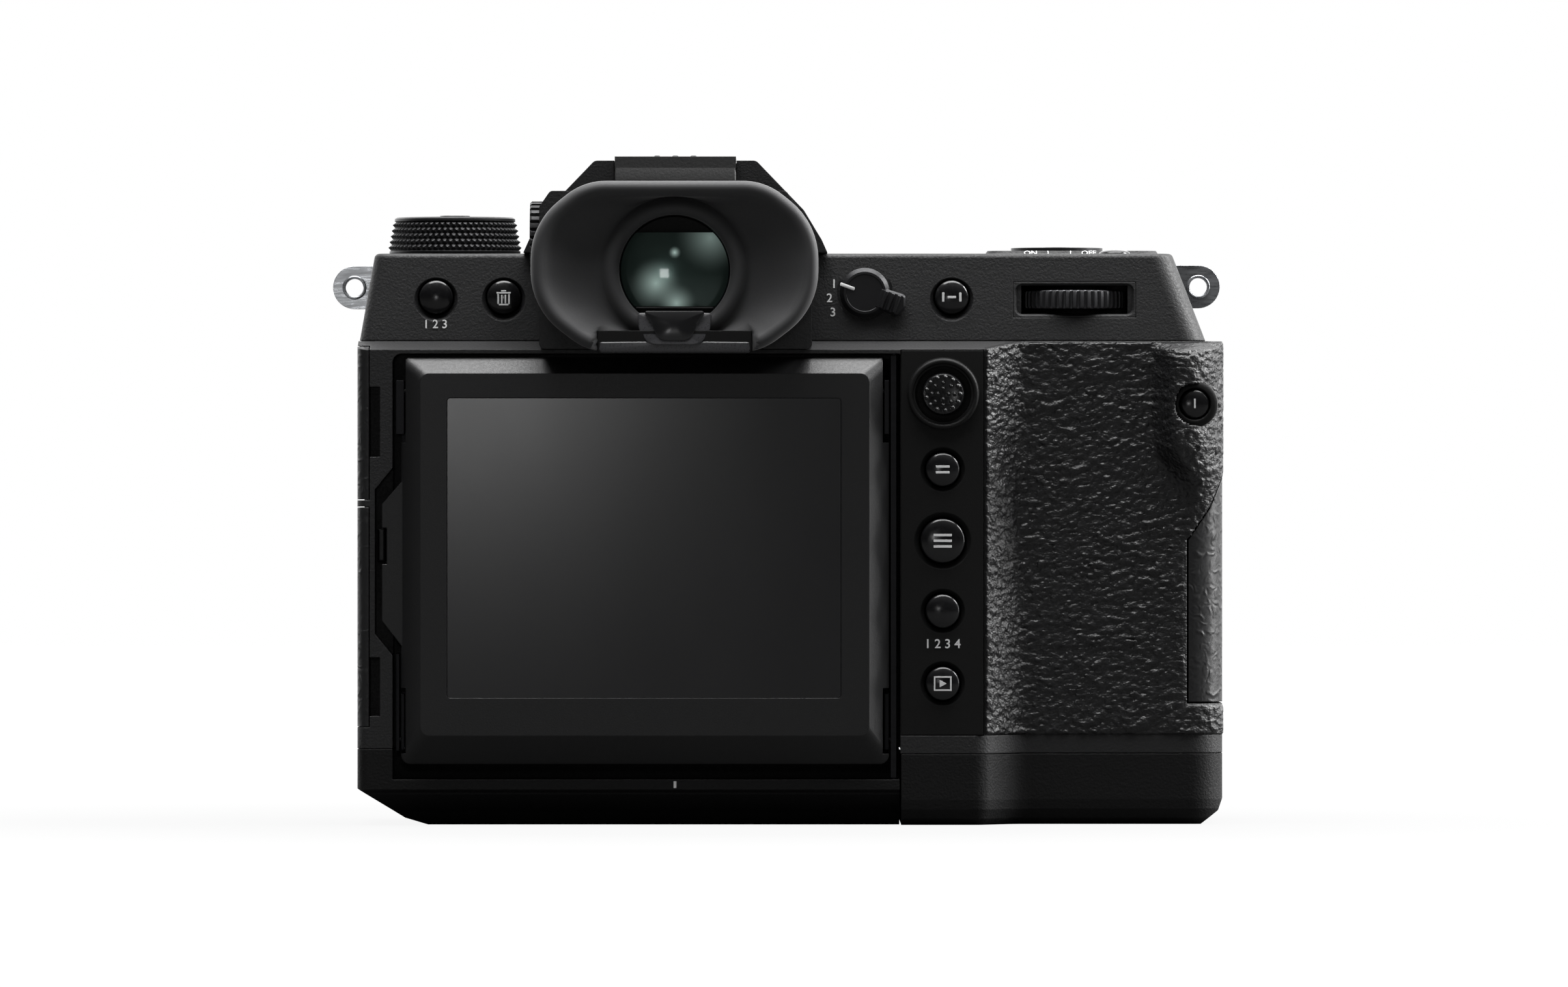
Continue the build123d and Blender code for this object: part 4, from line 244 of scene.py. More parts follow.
def coated_lens(name="coated_optical_glass", with_painted_highlights=False):
    """Optical glass with a green-grey anti-reflection coating over the dark of the finder, and, when asked,
    painted highlights that glow.
    """
    material, tree, place, shader = new_material(name)
    haze = grains(tree, place, 5.0, 1.0, 0.4)
    vary(tree, shader, haze, ("#38423f", "#4a5450"), haze, (0.16, 0.22))
    values = {
        "IOR": 1.6,
        "Specular Tint": srgb("#b9d6d0"),
        "Coat Weight": 0.6,
        "Coat Roughness": 0.05,
        "Coat Tint": srgb("#cfe6e0"),
    }
    # Painted highlights: glowing spots that stand in for the lamps' reflections
    if with_painted_highlights:
        values["Emission Color"] = srgb("#dfeee9")
        values["Emission Strength"] = painted_highlight_strength(tree, place)
    fill(tree, shader, values)
    return material


def enamel_ink():
    """Pad-printed enamel: thin, flat and just off white."""
    material, tree, place, shader = new_material("white_enamel_ink")
    grain = grains(tree, place, 0.25)
    vary(tree, shader, grain, ("#dcdcdc", "#c9c9c9"), grain, (0.45, 0.6))
    fill(tree, shader, {"Specular IOR Level": 0.3})
    return material


def solder_mask():
    """Glass-fibre board under green solder mask, with the weave just showing."""
    material, tree, place, shader = new_material("green_solder_mask")
    weave = grains(tree, place, 0.6, 2.0, 0.5, (1, 1, 0.2))
    vary(tree, shader, weave, ("#12301f", "#1a4029"), weave, (0.3, 0.4))
    fill(tree, shader, {"Normal": relief(tree, weave, 0.01)})
    return material


finish = {
    "shell": painted_magnesium("powder_coated_magnesium", "#0f0f10", "#151516", 0.42),
    # Painted shade: a darker copy of the shell's powder coat, for the base's parts
    "base_shell_painted_shade": painted_magnesium("powder_coat_painted_shade", "#070707", "#0a0a0b", 0.22),
    "grip": grip_leatherette(),
    "grip_skin": grip_leatherette("creased_nitrile_rubber", creases=False),
    "cup": eyecup_rubber(),
    "panel": textured_abs("spark_eroded_abs", "#070707", "#0a0a0a", 0.55, shine=0.22),
    "bar": textured_abs("satin_polycarbonate", "#38383a", "#3e3e40", 0.3, 0.4, 0.006),
    "screen_frame": textured_abs("satin_abs", "#0e0e0f", "#121213", 0.42),
    "button": textured_abs("polished_polycarbonate", "#0e0e0f", "#121213", 0.2, 0.5, 0.004),
    "shoe_cover": textured_abs("grained_polycarbonate", "#2b2b2b", "#303030", 0.55, 0.45, 0.05),
    "dial": anodised_aluminium("black_anodised_aluminium", "#1a1a1b", "#222224"),
    # Painted highlight: a lighter copy of the black anodised finish for the ribbed dials, standing in for
    # light on their ribs
    "ribbed": anodised_aluminium("anodised_aluminium_painted_highlight", "#363638", "#434345"),
    "lug": steel("drawn_stainless_steel", "#a9abae", "#c3c5c8", 0.3),
    "mount": steel("turned_chromed_brass", "#bcbdbf", "#c4c5c6", 0.24, 0.15),
    "dark_steel": steel("blackened_steel", "#232324", "#2f2f31", 0.45),
    "casting": textured_abs("black_casting", "#0c0c0d", "#111112", 0.7, 0.5, 0.05),
    "screen": screen_cover(),
    "lens": coated_lens(),
    # The eyepiece's glass glows with painted highlights
    "eye_lens": coated_lens("coated_eyepiece_glass_painted_highlights", with_painted_highlights=True),
    "ink": enamel_ink(),
    "board": solder_mask(),
    "inner": textured_abs("plain_polyamide", "#1b1c1d", "#242526", 0.55),
}

cad_finish = {
    "shell": ["front_cover", "rear_cover", "top_cover", "finder_housing"],
    # The base's parts take the darker copy of the shell's coat, painted shade
    "base_shell_painted_shade": ["base_cover", "grip_base", "battery_door"],
    "grip": ["grip_rubbers", "port_door_upper", "port_door_lower", "card_door"],
    "panel": ["button_panel", "eyepiece_frame", "battery_door_latch"],
    "screen_frame": ["screen_housing", "screen_latch"],
    "button": ["top_button", "mode_dial_lock", "shutter_button"],
    "shoe_cover": ["shoe_cover"],
    "dial": ["power_lever", "diopter_wheel"],
    "lug": ["strap_eyelets", "tripod_socket", "case_screws"],
    "mount": ["lens_mount_ring", "lens_release_button", "lens_contacts"],
    "dark_steel": ["finder_shoe", "hot_shoe", "swing_frame", "tilt_bracket"],
    "casting": ["chassis", "shutter_frame", "sensor_carriage", "shutter_leaf_1", "shutter_leaf_2"],
    "screen": ["screen_glass", "status_window"],
    "lens": ["image_sensor"],
    "board": ["main_board"],
    "inner": ["battery", "port_sockets", "finder_display", "stick_gimbal"],
}
for look, names in cad_finish.items():
    for name in names:
        nodes[name].data.materials.clear()
        nodes[name].data.materials.append(finish[look])


# Shapes as arrays

# Each way a piece can face: its first flat direction, its second and the direction that it rises in
ways = {
    "back": np.array([[1, 0, 0], [0, 0, 1], [0, -1, 0]], float),
    "up": np.array([[1, 0, 0], [0, 1, 0], [0, 0, 1]], float),
    "right": np.array([[0, 1, 0], [0, 0, 1], [1, 0, 0]], float),
}


def facing(way, flat, rise, origin=(0, 0, 0)):
    """Points with two flat coordinates and a rise, turned to a way and moved to an origin."""
    flat = np.asarray(flat, float)
    rise = np.broadcast_to(rise, flat.shape[:-1])
    return np.concatenate([flat, rise[..., None]], -1) @ ways[way] + np.asarray(origin, float)


def grid_faces(rows, columns, around=True):
    """The faces between a grid's neighbouring points. Around joins its last column to its first."""
    row = np.arange(rows - 1)[:, None]
    column = np.arange(columns if around else columns - 1)[None, :]
    beside = (column + 1) % columns
    this = row * columns
    after = this + columns
    return np.stack([this + column, this + beside, after + beside, after + column], -1).reshape(-1, 4)


def closed_skin(rings):
    """Points and faces of a skin over rings of points, closed at each end by its ring's middle."""
    rings = np.asarray(rings, float)
    columns = rings.shape[1]
    first = np.broadcast_to(rings[0].mean(0), (1, columns, 3))
    last = np.broadcast_to(rings[-1].mean(0), (1, columns, 3))
    points = np.concatenate([first, rings, last])
    return points.reshape(-1, 3), grid_faces(len(points), columns)


def outline(corners, radii, inset=0.0, steps=7):
    """A closed line with rounded corners, drawn in by inset.

    A corner moves in along its bisector until both sides have moved by inset. Its arc touches both sides,
    is centred a radius off both, and its points divide the corner's turn evenly.
    """
    corners = np.asarray(corners, float)
    radii = np.broadcast_to(np.asarray(radii, float), len(corners))
    along = np.roll(corners, -1, 0) - corners
    along /= np.linalg.norm(along, axis=1, keepdims=True)
    before = np.roll(along, 1, 0)
    turned = np.arctan2(before[:, 0] * along[:, 1] - before[:, 1] * along[:, 0], (before * along).sum(1))
    inward = (before + along)[:, ::-1] * [-1, 1] / (1 + (before * along).sum(1))[:, None]
    side = np.sign(turned)
    reach = np.maximum(radii - inset * side, 0.01)
    centres = corners + inward * (inset + side * reach)[:, None]
    start = np.arctan2(-side * before[:, 0], side * before[:, 1])
    angles = start[:, None] + np.linspace(0, 1, steps) * turned[:, None]
    arcs = np.stack([np.cos(angles), np.sin(angles)], -1) * reach[:, None, None]
    return (centres[:, None] + arcs).reshape(-1, 2)


def rectangle(low, high):
    """A rectangle's corners, from its lowest and highest."""
    return [(low[0], low[1]), (high[0], low[1]), (high[0], high[1]), (low[0], high[1])]


def circle(radius, count):
    """Points spaced evenly round a circle."""
    angles = np.arange(count) * TURN / count
    return np.stack([np.cos(angles), np.sin(angles)], -1) * radius


def spread(line, count):
    """A closed line's points moved so that they are the same distance apart along it."""
    looped = np.vstack([line, line[:1]])
    run = np.concatenate([[0], np.linalg.norm(np.diff(looped, axis=0), axis=1).cumsum()])
    at = np.linspace(0, run[-1], count, endpoint=False)
    return np.stack([np.interp(at, run, looped[:, axis]) for axis in range(line.shape[1])], -1)


def ease(value):
    """A share that leaves 0 and reaches 1 smoothly: three times its square less twice its cube."""
    value = np.clip(value, 0, 1)
    return value * value * (3 - 2 * value)


# The random lattice repeats after these two prime counts, and a surface starts at this place in it
lattice_counts = (97, 89)
lattice_start = (31.7, 17.3)


def lumps(u, v, size, seed):
    """Smooth random heights from 0 to 1: values on a square lattice, eased between each square's corners."""
    lattice = np.random.default_rng(seed).random(lattice_counts)
    u = np.asarray(u) / size + lattice_start[0]
    v = np.asarray(v) / size + lattice_start[1]
    low_u = np.floor(u).astype(int)
    low_v = np.floor(v).astype(int)
    share_u = ease(u - low_u)
    share_v = ease(v - low_v)
    left = low_u % lattice_counts[0]
    right = (low_u + 1) % lattice_counts[0]
    foot = low_v % lattice_counts[1]
    head = (low_v + 1) % lattice_counts[1]
    low_side = lattice[left, foot] * (1 - share_u) + lattice[right, foot] * share_u
    high_side = lattice[left, head] * (1 - share_u) + lattice[right, head] * share_u
    return low_side * (1 - share_v) + high_side * share_v


def add_piece(name, body, look, skin, replaced=(), closed=True, sharp=38.0):
    """Fills a mesh with a skin's points and faces, merges its seams and poles, and puts it on a body."""
    points, faces = skin
    mesh = bpy.data.meshes.new(name)
    mesh.vertices.add(len(points))
    mesh.vertices.foreach_set("co", (points * MM).astype(np.float32).ravel())
    mesh.loops.add(faces.size)
    mesh.loops.foreach_set("vertex_index", faces.astype(np.int32).ravel())
    mesh.polygons.add(len(faces))
    mesh.polygons.foreach_set("loop_start", np.arange(0, faces.size, faces.shape[1], dtype=np.int32))
    mesh.update(calc_edges=True)
    work = bmesh.new()
    work.from_mesh(mesh)
    bmesh.ops.remove_doubles(work, verts=work.verts, dist=0.001 * MM)
    if closed:
        bmesh.ops.recalc_face_normals(work, faces=work.faces)
    work.to_mesh(mesh)
    work.free()
    mesh.polygons.foreach_set("use_smooth", np.ones(len(mesh.polygons), bool))
    mesh.set_sharp_from_angle(angle=np.radians(sharp))
    piece = bpy.data.objects.new(name, mesh)
    bpy.context.scene.collection.objects.link(piece)
    mesh.materials.append(finish[look])
    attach(piece, body)
    if replaced:
        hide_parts(*replaced)
    return piece


def turned_skin(way, origin, profile, count=64):
    """A profile of radius and rise pairs, turned about the way that it faces."""
    rings = [facing(way, circle(max(radius, 0.001), count), rise, origin) for radius, rise in profile]
    return closed_skin(rings)


def raised_skin(way, origin, corners, radii, profile, steps=7):
    """An outline carried up a profile of inset and rise pairs."""
    rings = [facing(way, outline(corners, radii, inset, steps), rise, origin) for inset, rise in profile]
    return closed_skin(rings)


def leaned(skin, slope, level):
    """A skin whose points move forward by slope for each millimetre that they lie above a level."""
    points, faces = skin
    forward = np.maximum(points[:, 2] - level, 0) * slope
    return points + forward[:, None] * [0, 1, 0], faces


def joined(*skins):
    """Several skins as one."""
    points, faces, count = [], [], 0
    for skin_points, skin_faces in skins:
        points.append(skin_points)
        faces.append(skin_faces + count)
        count += len(skin_points)
    return np.concatenate(points), np.concatenate(faces)


def looped_skin(rings):
    """Points and faces of a skin over rings of points, whose last ring is joined to its first."""
    points = np.asarray([*rings, rings[0]])
    return points.reshape(-1, 3), grid_faces(len(points), points.shape[1])


def tube_ring(way, origin, radius, thickness, count=64, around=12):
    """A ring of round wire: a circle of that thickness carried round a circle of that radius."""
    rings = []
    for angle in np.arange(around) * TURN / around:
        flat = circle(radius + thickness * np.cos(angle), count)
        rings.append(facing(way, flat, thickness * np.sin(angle), origin))
    return looped_skin(rings)


# Eyecup: a flared rounded frame whose bowl runs in to a round lip about the eyepiece

eye_z = 97.05
cup_corners = [
    (-15.0, 82.7),
    (15.0, 82.7),
    (25.1, 90.4),
    (25.1, 105.2),
    (15.8, 112.6),
    (-15.8, 112.6),
    (-25.1, 105.2),
    (-25.1, 90.4),
]
cup_radii = [11.0, 11.0, 13.0, 13.0, 11.0, 11.0, 13.0, 13.0]
# How far in from the outline and how far back the outside lies, and then the rim
cup_outside = [(0.8, 39.0), (0.7, 40.6), (0.25, 43.5), (0.0, 45.6), (0.12, 46.6)]
cup_rim = [(0.6, 47.2), (1.3, 47.4), (2.1, 47.15), (2.7, 46.5)]
# The share of the way in from the rim to the bowl's foot, and how far back that is
cup_bowl = [(0.12, 45.55), (0.3, 44.5), (0.5, 43.5), (0.7, 42.8), (0.88, 42.4), (1.0, 42.35)]
cup_foot_r = 12.9
# The radius of the lip about the eyepiece, and how far back that is
cup_lip = [(12.6, 42.7), (12.0, 43.4), (11.2, 43.7), (10.5, 43.55), (9.95, 43.1), (9.7, 42.5), (9.7, 42.05)]
cup_bore = [(12.15, 42.05), (12.15, 39.0)]
cup_clear_y = 47.5
bar_seat_depth = 3.2
lip_gap_depth = 5.4


def build_eyecup():
    """Rings of the cup's outline on the outside and over its rim, then rings that pass by shares from the
    outline to a circle down the bowl, then circles over the lip and back to the front.

    The seat of the eyepiece's bar and the gap in the lip hold those rings down where they are further back.
    """
    count = 220
    edge = cup_outside + cup_rim
    rings = [spread(outline(cup_corners, cup_radii, inset, 9), count) for inset, _ in edge]
    inner_edge = rings[-1]
    bearing = np.arctan2(inner_edge[:, 1] - eye_z, inner_edge[:, 0])
    ray = np.stack([np.cos(bearing), np.sin(bearing)], -1)
    middle = np.array([0, eye_z])
    for share, _ in cup_bowl:
        rings.append(inner_edge * (1 - share) + (middle + ray * cup_foot_r) * share)
    for radius, _ in cup_lip + cup_bore:
        rings.append(middle + ray * radius)
    flat = np.asarray(rings)
    rise = np.asarray([back for _, back in edge + cup_bowl + cup_lip + cup_bore])[:, None]
    x = np.abs(flat[..., 0])
    z = flat[..., 1]
    bar_seat = ease((14.2 - x) / 0.7) * ease((88.6 - z) / 1.6)
    rise = np.minimum(rise, cup_clear_y - bar_seat_depth * bar_seat)
    lip_gap = ease((6.0 - x) / 0.9) * ease((eye_z - 6 - z) / 1.5)
    rise = np.minimum(rise, cup_clear_y - lip_gap_depth * lip_gap)
    skin = looped_skin(facing("back", flat, rise))
    piece = add_piece("eyecup_rubber", "finder", "cup", skin, ["eyecup"], sharp=60.0)


build_eyecup()


# Eyepiece: bar across the foot of the cup, eye sensor, and the lens over its mask


def build_eye_sensor():
    """A bar with a crease, a collar and the sensor's window, which lean forward above the crease."""
    crease = 84.5
    bar = [(-13.5, 82.6), (13.5, 82.6), (13.2, crease), (12.2, 86.4), (-12.2, 86.4), (-13.2, crease)]
    bar_radii = [0.8, 0.8, 0.3, 0.8, 0.8, 0.3]
    bar_profile = [(0.3, 39.2), (0.0, 39.8), (0.0, 44.6), (0.2, 45.0), (0.5, 45.1)]
    collar = [(-4.4, 83.9), (4.4, 83.9), (6.2, 86.6), (6.4, 89.6), (-6.4, 89.6), (-6.2, 86.6)]
    collar_radii = [2.4, 2.4, 2.0, 0.4, 0.4, 2.0]
    collar_profile = [(0.4, 41.0), (0.0, 41.4), (0.0, 45.2), (0.25, 45.35)]
    window = [(-2.9, 84.8), (2.9, 84.8), (3.9, 87.6), (5.4, 89.9), (-5.4, 89.9), (-3.9, 87.6)]
    window_radii = [2.2, 2.2, 1.5, 0.3, 0.3, 1.5]
    window_profile = [(0.4, 41.0), (0.0, 41.4), (0.0, 45.4), (0.3, 45.55)]
    plates = [
        ("eyepiece_bar", "bar", bar, bar_radii, bar_profile, 0.8, 20.0),
        ("eye_sensor_collar", "bar", collar, collar_radii, collar_profile, 0.25, 38.0),
        ("eye_sensor_window", "screen", window, window_radii, window_profile, 0.12, 38.0),
    ]
    for name, look, corners, radii, profile, slope, sharp in plates:
        skin = leaned(raised_skin("back", (0, 0, 0), corners, radii, profile), slope, crease)
        add_piece(name, "finder", look, skin, sharp=sharp)
    step = rectangle((-6.8, 90.35), (6.8, 90.7))
    skin = raised_skin("back", (0, 0, 0), step, 0.1, [(0, 38.6), (0, 39.9), (0.1, 40.0)], 4)
    add_piece("eyepiece_mask_step", "finder", "shoe_cover", skin)


build_eye_sensor()


def build_eyepiece_lens():
    """A lens cut flat above and below.

    Its face bulges by a depth less its share by the square of a point's share of the way out.
    """
    half = 9.45
    top = 103.7 - eye_z
    bottom = 90.8 - eye_z
    edge_y, bulge_depth, back_y = 39.25, 1.1, 38.2
    rings = []
    for share in np.linspace(1, 0.05, 14):
        flat = circle(half, 96) * share
        flat[:, 1] = np.clip(flat[:, 1], bottom * share, top * share)
        bulge = edge_y + bulge_depth * (1 - (flat**2).sum(1) / half**2)
        rings.append(facing("back", flat, bulge, (0, 0, eye_z)))
    rim = rings[0][:, [0, 2]] - [0, eye_z]
    skin = closed_skin([facing("back", rim, back_y, (0, 0, eye_z)), *rings])
    add_piece("eyepiece_lens_face", "finder", "eye_lens", skin, ["eyepiece_lens"], sharp=50.0)
    mask = [(9.55, 38.0), (9.55, 38.6), (9.4, 38.75)]
    add_piece("eyepiece_mask", "finder", "panel", turned_skin("back", (0, 0, eye_z), mask, 72))


build_eyepiece_lens()


# Mode dial: five rows of small pyramids between two plain bands, and a shallow dished top

dial_place = (-39.2, -4.0, 0.0)
# Radius and height of the plain band below the pyramids, and of the band and the dished top above them
dial_foot = [(3.7, 100.45), (11.3, 100.45), (11.6, 100.6), (11.6, 100.95)]
dial_brim = [(10.7, 106.25), (10.65, 106.7), (10.2, 106.95), (9.6, 106.95)]
dial_dish = [(9.3, 106.75), (3.4, 106.7), (3.1, 106.4), (3.05, 105.4)]


def build_mode_dial():
    """Radius falls evenly with height. Each pyramid is the lesser of a triangle wave round and one up.

    Every second row is half a pyramid further round.
    """
    rows, around, per_row, per_tooth = 5, 66, 8, 8
    low, high = 101.1, 106.1
    low_r, taper, tooth_depth = 11.35, 0.19, 0.55
    count = around * per_tooth
    angles = np.arange(count) * TURN / count
    heights = np.linspace(low, high, rows * per_row + 1)
    up = (heights - low) / (high - low) * rows
    wave_up = 1 - np.abs(2 * (up - np.floor(up)) - 1)
    shift = 0.5 * (np.floor(np.minimum(up, rows - 0.01)) % 2)
    round_share = np.mod(angles * around / TURN + shift[:, None], 1)
    wave_round = 1 - np.abs(2 * round_share - 1)
    tooth = np.minimum(wave_up[:, None], wave_round)
    radius = (low_r - (heights - low) * taper)[:, None] + tooth_depth * tooth
    unit = circle(1.0, count)
    rings = [facing("up", unit * r, z, dial_place) for r, z in dial_foot]
    rings += [facing("up", unit * radius[i][:, None], heights[i], dial_place) for i in range(len(heights))]
    rings += [facing("up", unit * r, z, dial_place) for r, z in dial_brim + dial_dish]
    add_piece("mode_dial_knurled", "mode_dial", "dial", closed_skin(rings), ["mode_dial"], sharp=30.0)


build_mode_dial()


# Control dials: square-shouldered ribs round a drum


# Share of the radius, share of the height and share of the valleys' depth, from a dial's foot to its top
rib_profile = [
    (0.75, 0.0, 0.0),
    (0.93, 0.0, 0.0),
    (0.985, 0.05, 0.6),
    (1.0, 0.16, 1.0),
    (1.0, 0.84, 1.0),
    (0.985, 0.95, 0.6),
    (0.93, 1.0, 0.0),
    (0.75, 1.0, 0.0),
]


def build_ribbed_dial(name, node_name, centre, radius, low, high, ribs):
    """The radius drops between ribs as a narrow eased valley, and both rims are drawn in."""
    per_rib = 10
    count = ribs * per_rib
    angles = np.arange(count) * TURN / count
    share = np.mod(angles * ribs / TURN, 1)
    valley = 1 - ease((np.abs(share - 0.5) - 0.14) / 0.16)
    unit = circle(1.0, count)
    height = high - low
    valley_depth = 0.6
    rings = []
    for reach, lift, depth in rib_profile:
        r = radius * reach - valley_depth * depth * valley
        rings.append(facing("up", unit * r[:, None], low + height * lift, centre))
    add_piece(name, node_name, "ribbed", closed_skin(rings), [node_name], sharp=32.0)


build_ribbed_dial("rear_dial_ribbed", "rear_dial", (70.2, -16.3, 0), 9.05, 90.55, 93.85, 44)
build_ribbed_dial("front_dial_ribbed", "front_dial", (74.0, 36.4, 0), 8.0, 88.45, 92.15, 40)


# Buttons: a low dome with a rolled edge, and the mark printed on it


def domed_button(name, way, origin, radius, foot, face, dome):
    """A cap whose side rolls over into a dome that rises by the square of the distance from its edge."""
    roll = 0.45
    inner = radius - roll
    edge = [(radius, foot), (radius, face - roll), (radius - 0.13, face - roll * 0.45), (inner, face - 0.05)]
    top = [(inner * share, face + dome * (1 - share * share)) for share in (0.85, 0.7, 0.5, 0.3, 0.12)]
    skin = turned_skin(way, origin, [*edge, *top], 56)
    add_piece(name + "_cap", name, "button", skin, [name], sharp=45.0)


top_back_slope = 2.0 / 15.3


def top_back_y(z):
    """How far back the top cover's sloping rear is at a height."""
    return 24.5 - top_back_slope * (z - 85.0)


top_rear_places = {
    "drive_button": (-42.1, 92.6),
    "delete_button": (-30.2, 92.6),
    "af_on_button": (48.6, 92.6),
}
panel_places = {
    "ael_button": (46.9, 62.3, 3.0),
    "menu_button": (46.9, 49.8, 3.93),
    "display_button": (46.9, 37.5, 3.0),
    "playback_button": (46.9, 24.8, 3.0),
}
for name, (x, z) in top_rear_places.items():
    rear = top_back_y(z)
    domed_button(name, "back", (x, 0, z), 2.95, rear - 2.0, rear + 0.65, 0.45)
for name, (x, z, radius) in panel_places.items():
    domed_button(name, "back", (x, 0, z), radius - 0.05, 31.7, 34.1, 0.4)
quick_place = (91.2, 0, 73.8)
domed_button("quick_button", "back", quick_place, 2.55, 25.0, 29.3, 0.3)
domed_button("top_button", "up", (77.5, -12.0, 0), 2.75, 98.0, 100.9, 0.3)


def build_dial_bezel():
    """A bevelled lip in the rear dial's recess, square outside and round in its inner corners."""
    recess = rectangle((59.45, 89.05), (80.95, 95.25))
    profile = [(0.0, 0.3, -0.85), (0.0, 0.3, -0.02), (0.25, 1.6, -0.02), (0.6, 1.6, -0.45), (0.6, 1.6, -0.85)]
    rings = []
    for inset, radius, rise in profile:
        flat = outline(recess, radius, inset)
        rings.append(facing("back", flat, rise + top_back_y(flat[:, 1])))
    add_piece("rear_dial_bezel", "body", "shell", looped_skin(rings))


build_dial_bezel()


def build_quick_ring():
    """A ring sunk in the thumb rest round its button, turned from a profile that is open in the middle."""
    profile = [(2.75, 27.6), (2.75, 29.0), (2.95, 29.2), (3.6, 29.2), (4.0, 28.9), (4.1, 28.2), (4.1, 27.6)]
    rings = [facing("back", circle(radius, 64), y, quick_place) for radius, y in profile]
    add_piece("quick_button_ring", "body", "panel", looped_skin(rings))


build_quick_ring()


# Joystick: a cap with raised dots


def build_stick():
    """A shallow drum with one ring of larger dots and rings of smaller ones, each dot a low dome."""
    middle_x, middle_z = 47.0, 75.5
    side = [(1.2, 33.2), (3.3, 33.4), (3.7, 33.9), (3.7, 34.6), (3.45, 35.0)]
    face = [(2.9, 35.05), (2.2, 34.95), (0.8, 34.9)]
    skins = [turned_skin("back", (middle_x, 0, middle_z), side + face, 60)]
    for radius, count, size in ((2.95, 13, 0.36), (1.95, 8, 0.3), (0.95, 4, 0.3)):
        dome = [(size, 34.7), (size, 35.05), (size * 0.75, 35.2), (size * 0.35, 35.28)]
        for turn in np.arange(count) * TURN / count:
            place = (middle_x + radius * np.cos(turn), 0, middle_z + radius * np.sin(turn))
            skins.append(turned_skin("back", place, dome, 10))
    add_piece("stick_cap_dotted", "stick_cap", "button", joined(*skins), ["stick_cap"], sharp=40.0)
    collar = tube_ring("back", (middle_x, -34.1, middle_z), 5.75, 0.5)
    add_piece("stick_collar", "body", "panel", collar)


build_stick()


# Focus lever: a stepped disc with a ribbed finger tip


def build_focus_lever():
    """A turned disc with a chamfered face, with a ribbed tip and an ink line that are turned with it."""
    origin = (33.3, 0, 93.35)
    profile = [(4.35, 23.5), (4.4, 23.8), (4.4, 24.6), (3.7, 25.25), (3.3, 25.3), (3.2, 25.2), (0.5, 25.2)]
    skins = [turned_skin("back", origin, profile, 80)]
    turn = np.radians(-20.0)
    spin = np.array([[np.cos(turn), np.sin(turn)], [-np.sin(turn), np.cos(turn)]])
    tip = np.array([(2.4, -1.9), (6.9, -2.1), (7.6, 0.0), (6.9, 2.1), (2.4, 1.9)]) @ spin
    tip_radii = [0.4, 0.8, 1.4, 0.8, 0.4]
    tip_profile = [(0.3, 23.9), (0, 24.2), (0, 25.0), (0.35, 25.35)]
    skins.append(raised_skin("back", origin, tip, tip_radii, tip_profile))
    for place in (3.6, 4.75, 5.9):
        rib = np.array(rectangle((place - 0.36, -1.7), (place + 0.36, 1.7))) @ spin
        skins.append(raised_skin("back", origin, rib, 0.2, [(0, 25.2), (0, 25.6), (0.2, 25.8)], 4))
    add_piece("focus_lever_disc", "focus_lever", "dial", joined(*skins), ["focus_lever"], sharp=35.0)
    mark = np.array(rectangle((-4.6, -0.3), (-1.9, 0.3))) @ spin
    skin = raised_skin("back", origin, mark, 0.2, [(0, 25.1), (0, 25.33), (0.05, 25.36)], 4)
    add_piece("focus_lever_mark", "focus_lever", "ink", skin)


build_focus_lever()


# Grip leather: the covering behind the grip with the rest for the thumb

grip_path = [(40.0, -33.5), (54.2, -33.5), (60.7, -25.5), (96.3, -25.5), (96.3, 12.35), (96.3, 30.0)]
grip_path_radii = [4.0, 4.0, 6.0]
# The part of that plan line that is covered
leather_left_x = 54.3
leather_front_y = 12.4
leather_foot_z = 15.7
leather_top_z = 84.9
leather_spacing = 0.28
leather_relief = 0.7
leather_lift = 0.05
leather_edge_fade = 0.5
leather_wall = 0.5
# The furthest that the skin comes out. At the rear that leans in under the top cover.
leather_rear_y = -33.45
leather_right_x = 96.45
rest_height = 4.6
quick_hole_r = 3.7
door_left_x = 89.85
door_low_z = 21.1
door_front_y = 11.9
door_edge_fade = 0.8


def open_line(corners, radii, spacing):
    """Points about spacing apart along straight runs joined by arcs that touch them."""
    corners = np.asarray(corners, float)
    line = [corners[:1]]
    for i, radius in enumerate(radii, 1):
        before = (corners[i] - corners[i - 1]) / np.linalg.norm(corners[i] - corners[i - 1])
        after = (corners[i + 1] - corners[i]) / np.linalg.norm(corners[i + 1] - corners[i])
        turned = np.arctan2(before[0] * after[1] - before[1] * after[0], before @ after)
        side = np.sign(turned)
        normal = np.array([-before[1], before[0]]) * side
        centre = corners[i] - before * radius * abs(np.tan(turned / 2)) + normal * radius
        angle = np.arctan2(-normal[1], -normal[0]) + np.linspace(0, turned, 24)
        line.append(centre + radius * np.stack([np.cos(angle), np.sin(angle)], -1))
    line = np.concatenate([*line, corners[-1:]])
    run = np.concatenate([[0], np.linalg.norm(np.diff(line, axis=0), axis=1).cumsum()])
    at = np.arange(0, run[-1], spacing)
    return np.stack([np.interp(at, run, line[:, axis]) for axis in (0, 1)], -1)


def leather_height(run, z):
    """Creased leather: pillows parted by narrow valleys, which run where random lumps are halfway up."""
    drift = lumps(run, z, 3.4, 7)
    wide = np.abs(2 * lumps(run / 2.0 + drift, z + 1.5 * drift, 0.75, 3) - 1)
    fine = np.abs(2 * lumps(run / 1.2, z + drift, 0.6, 5) - 1)
    return (0.6 * wide**0.7 + 0.4 * fine) * (0.75 + 0.4 * drift)


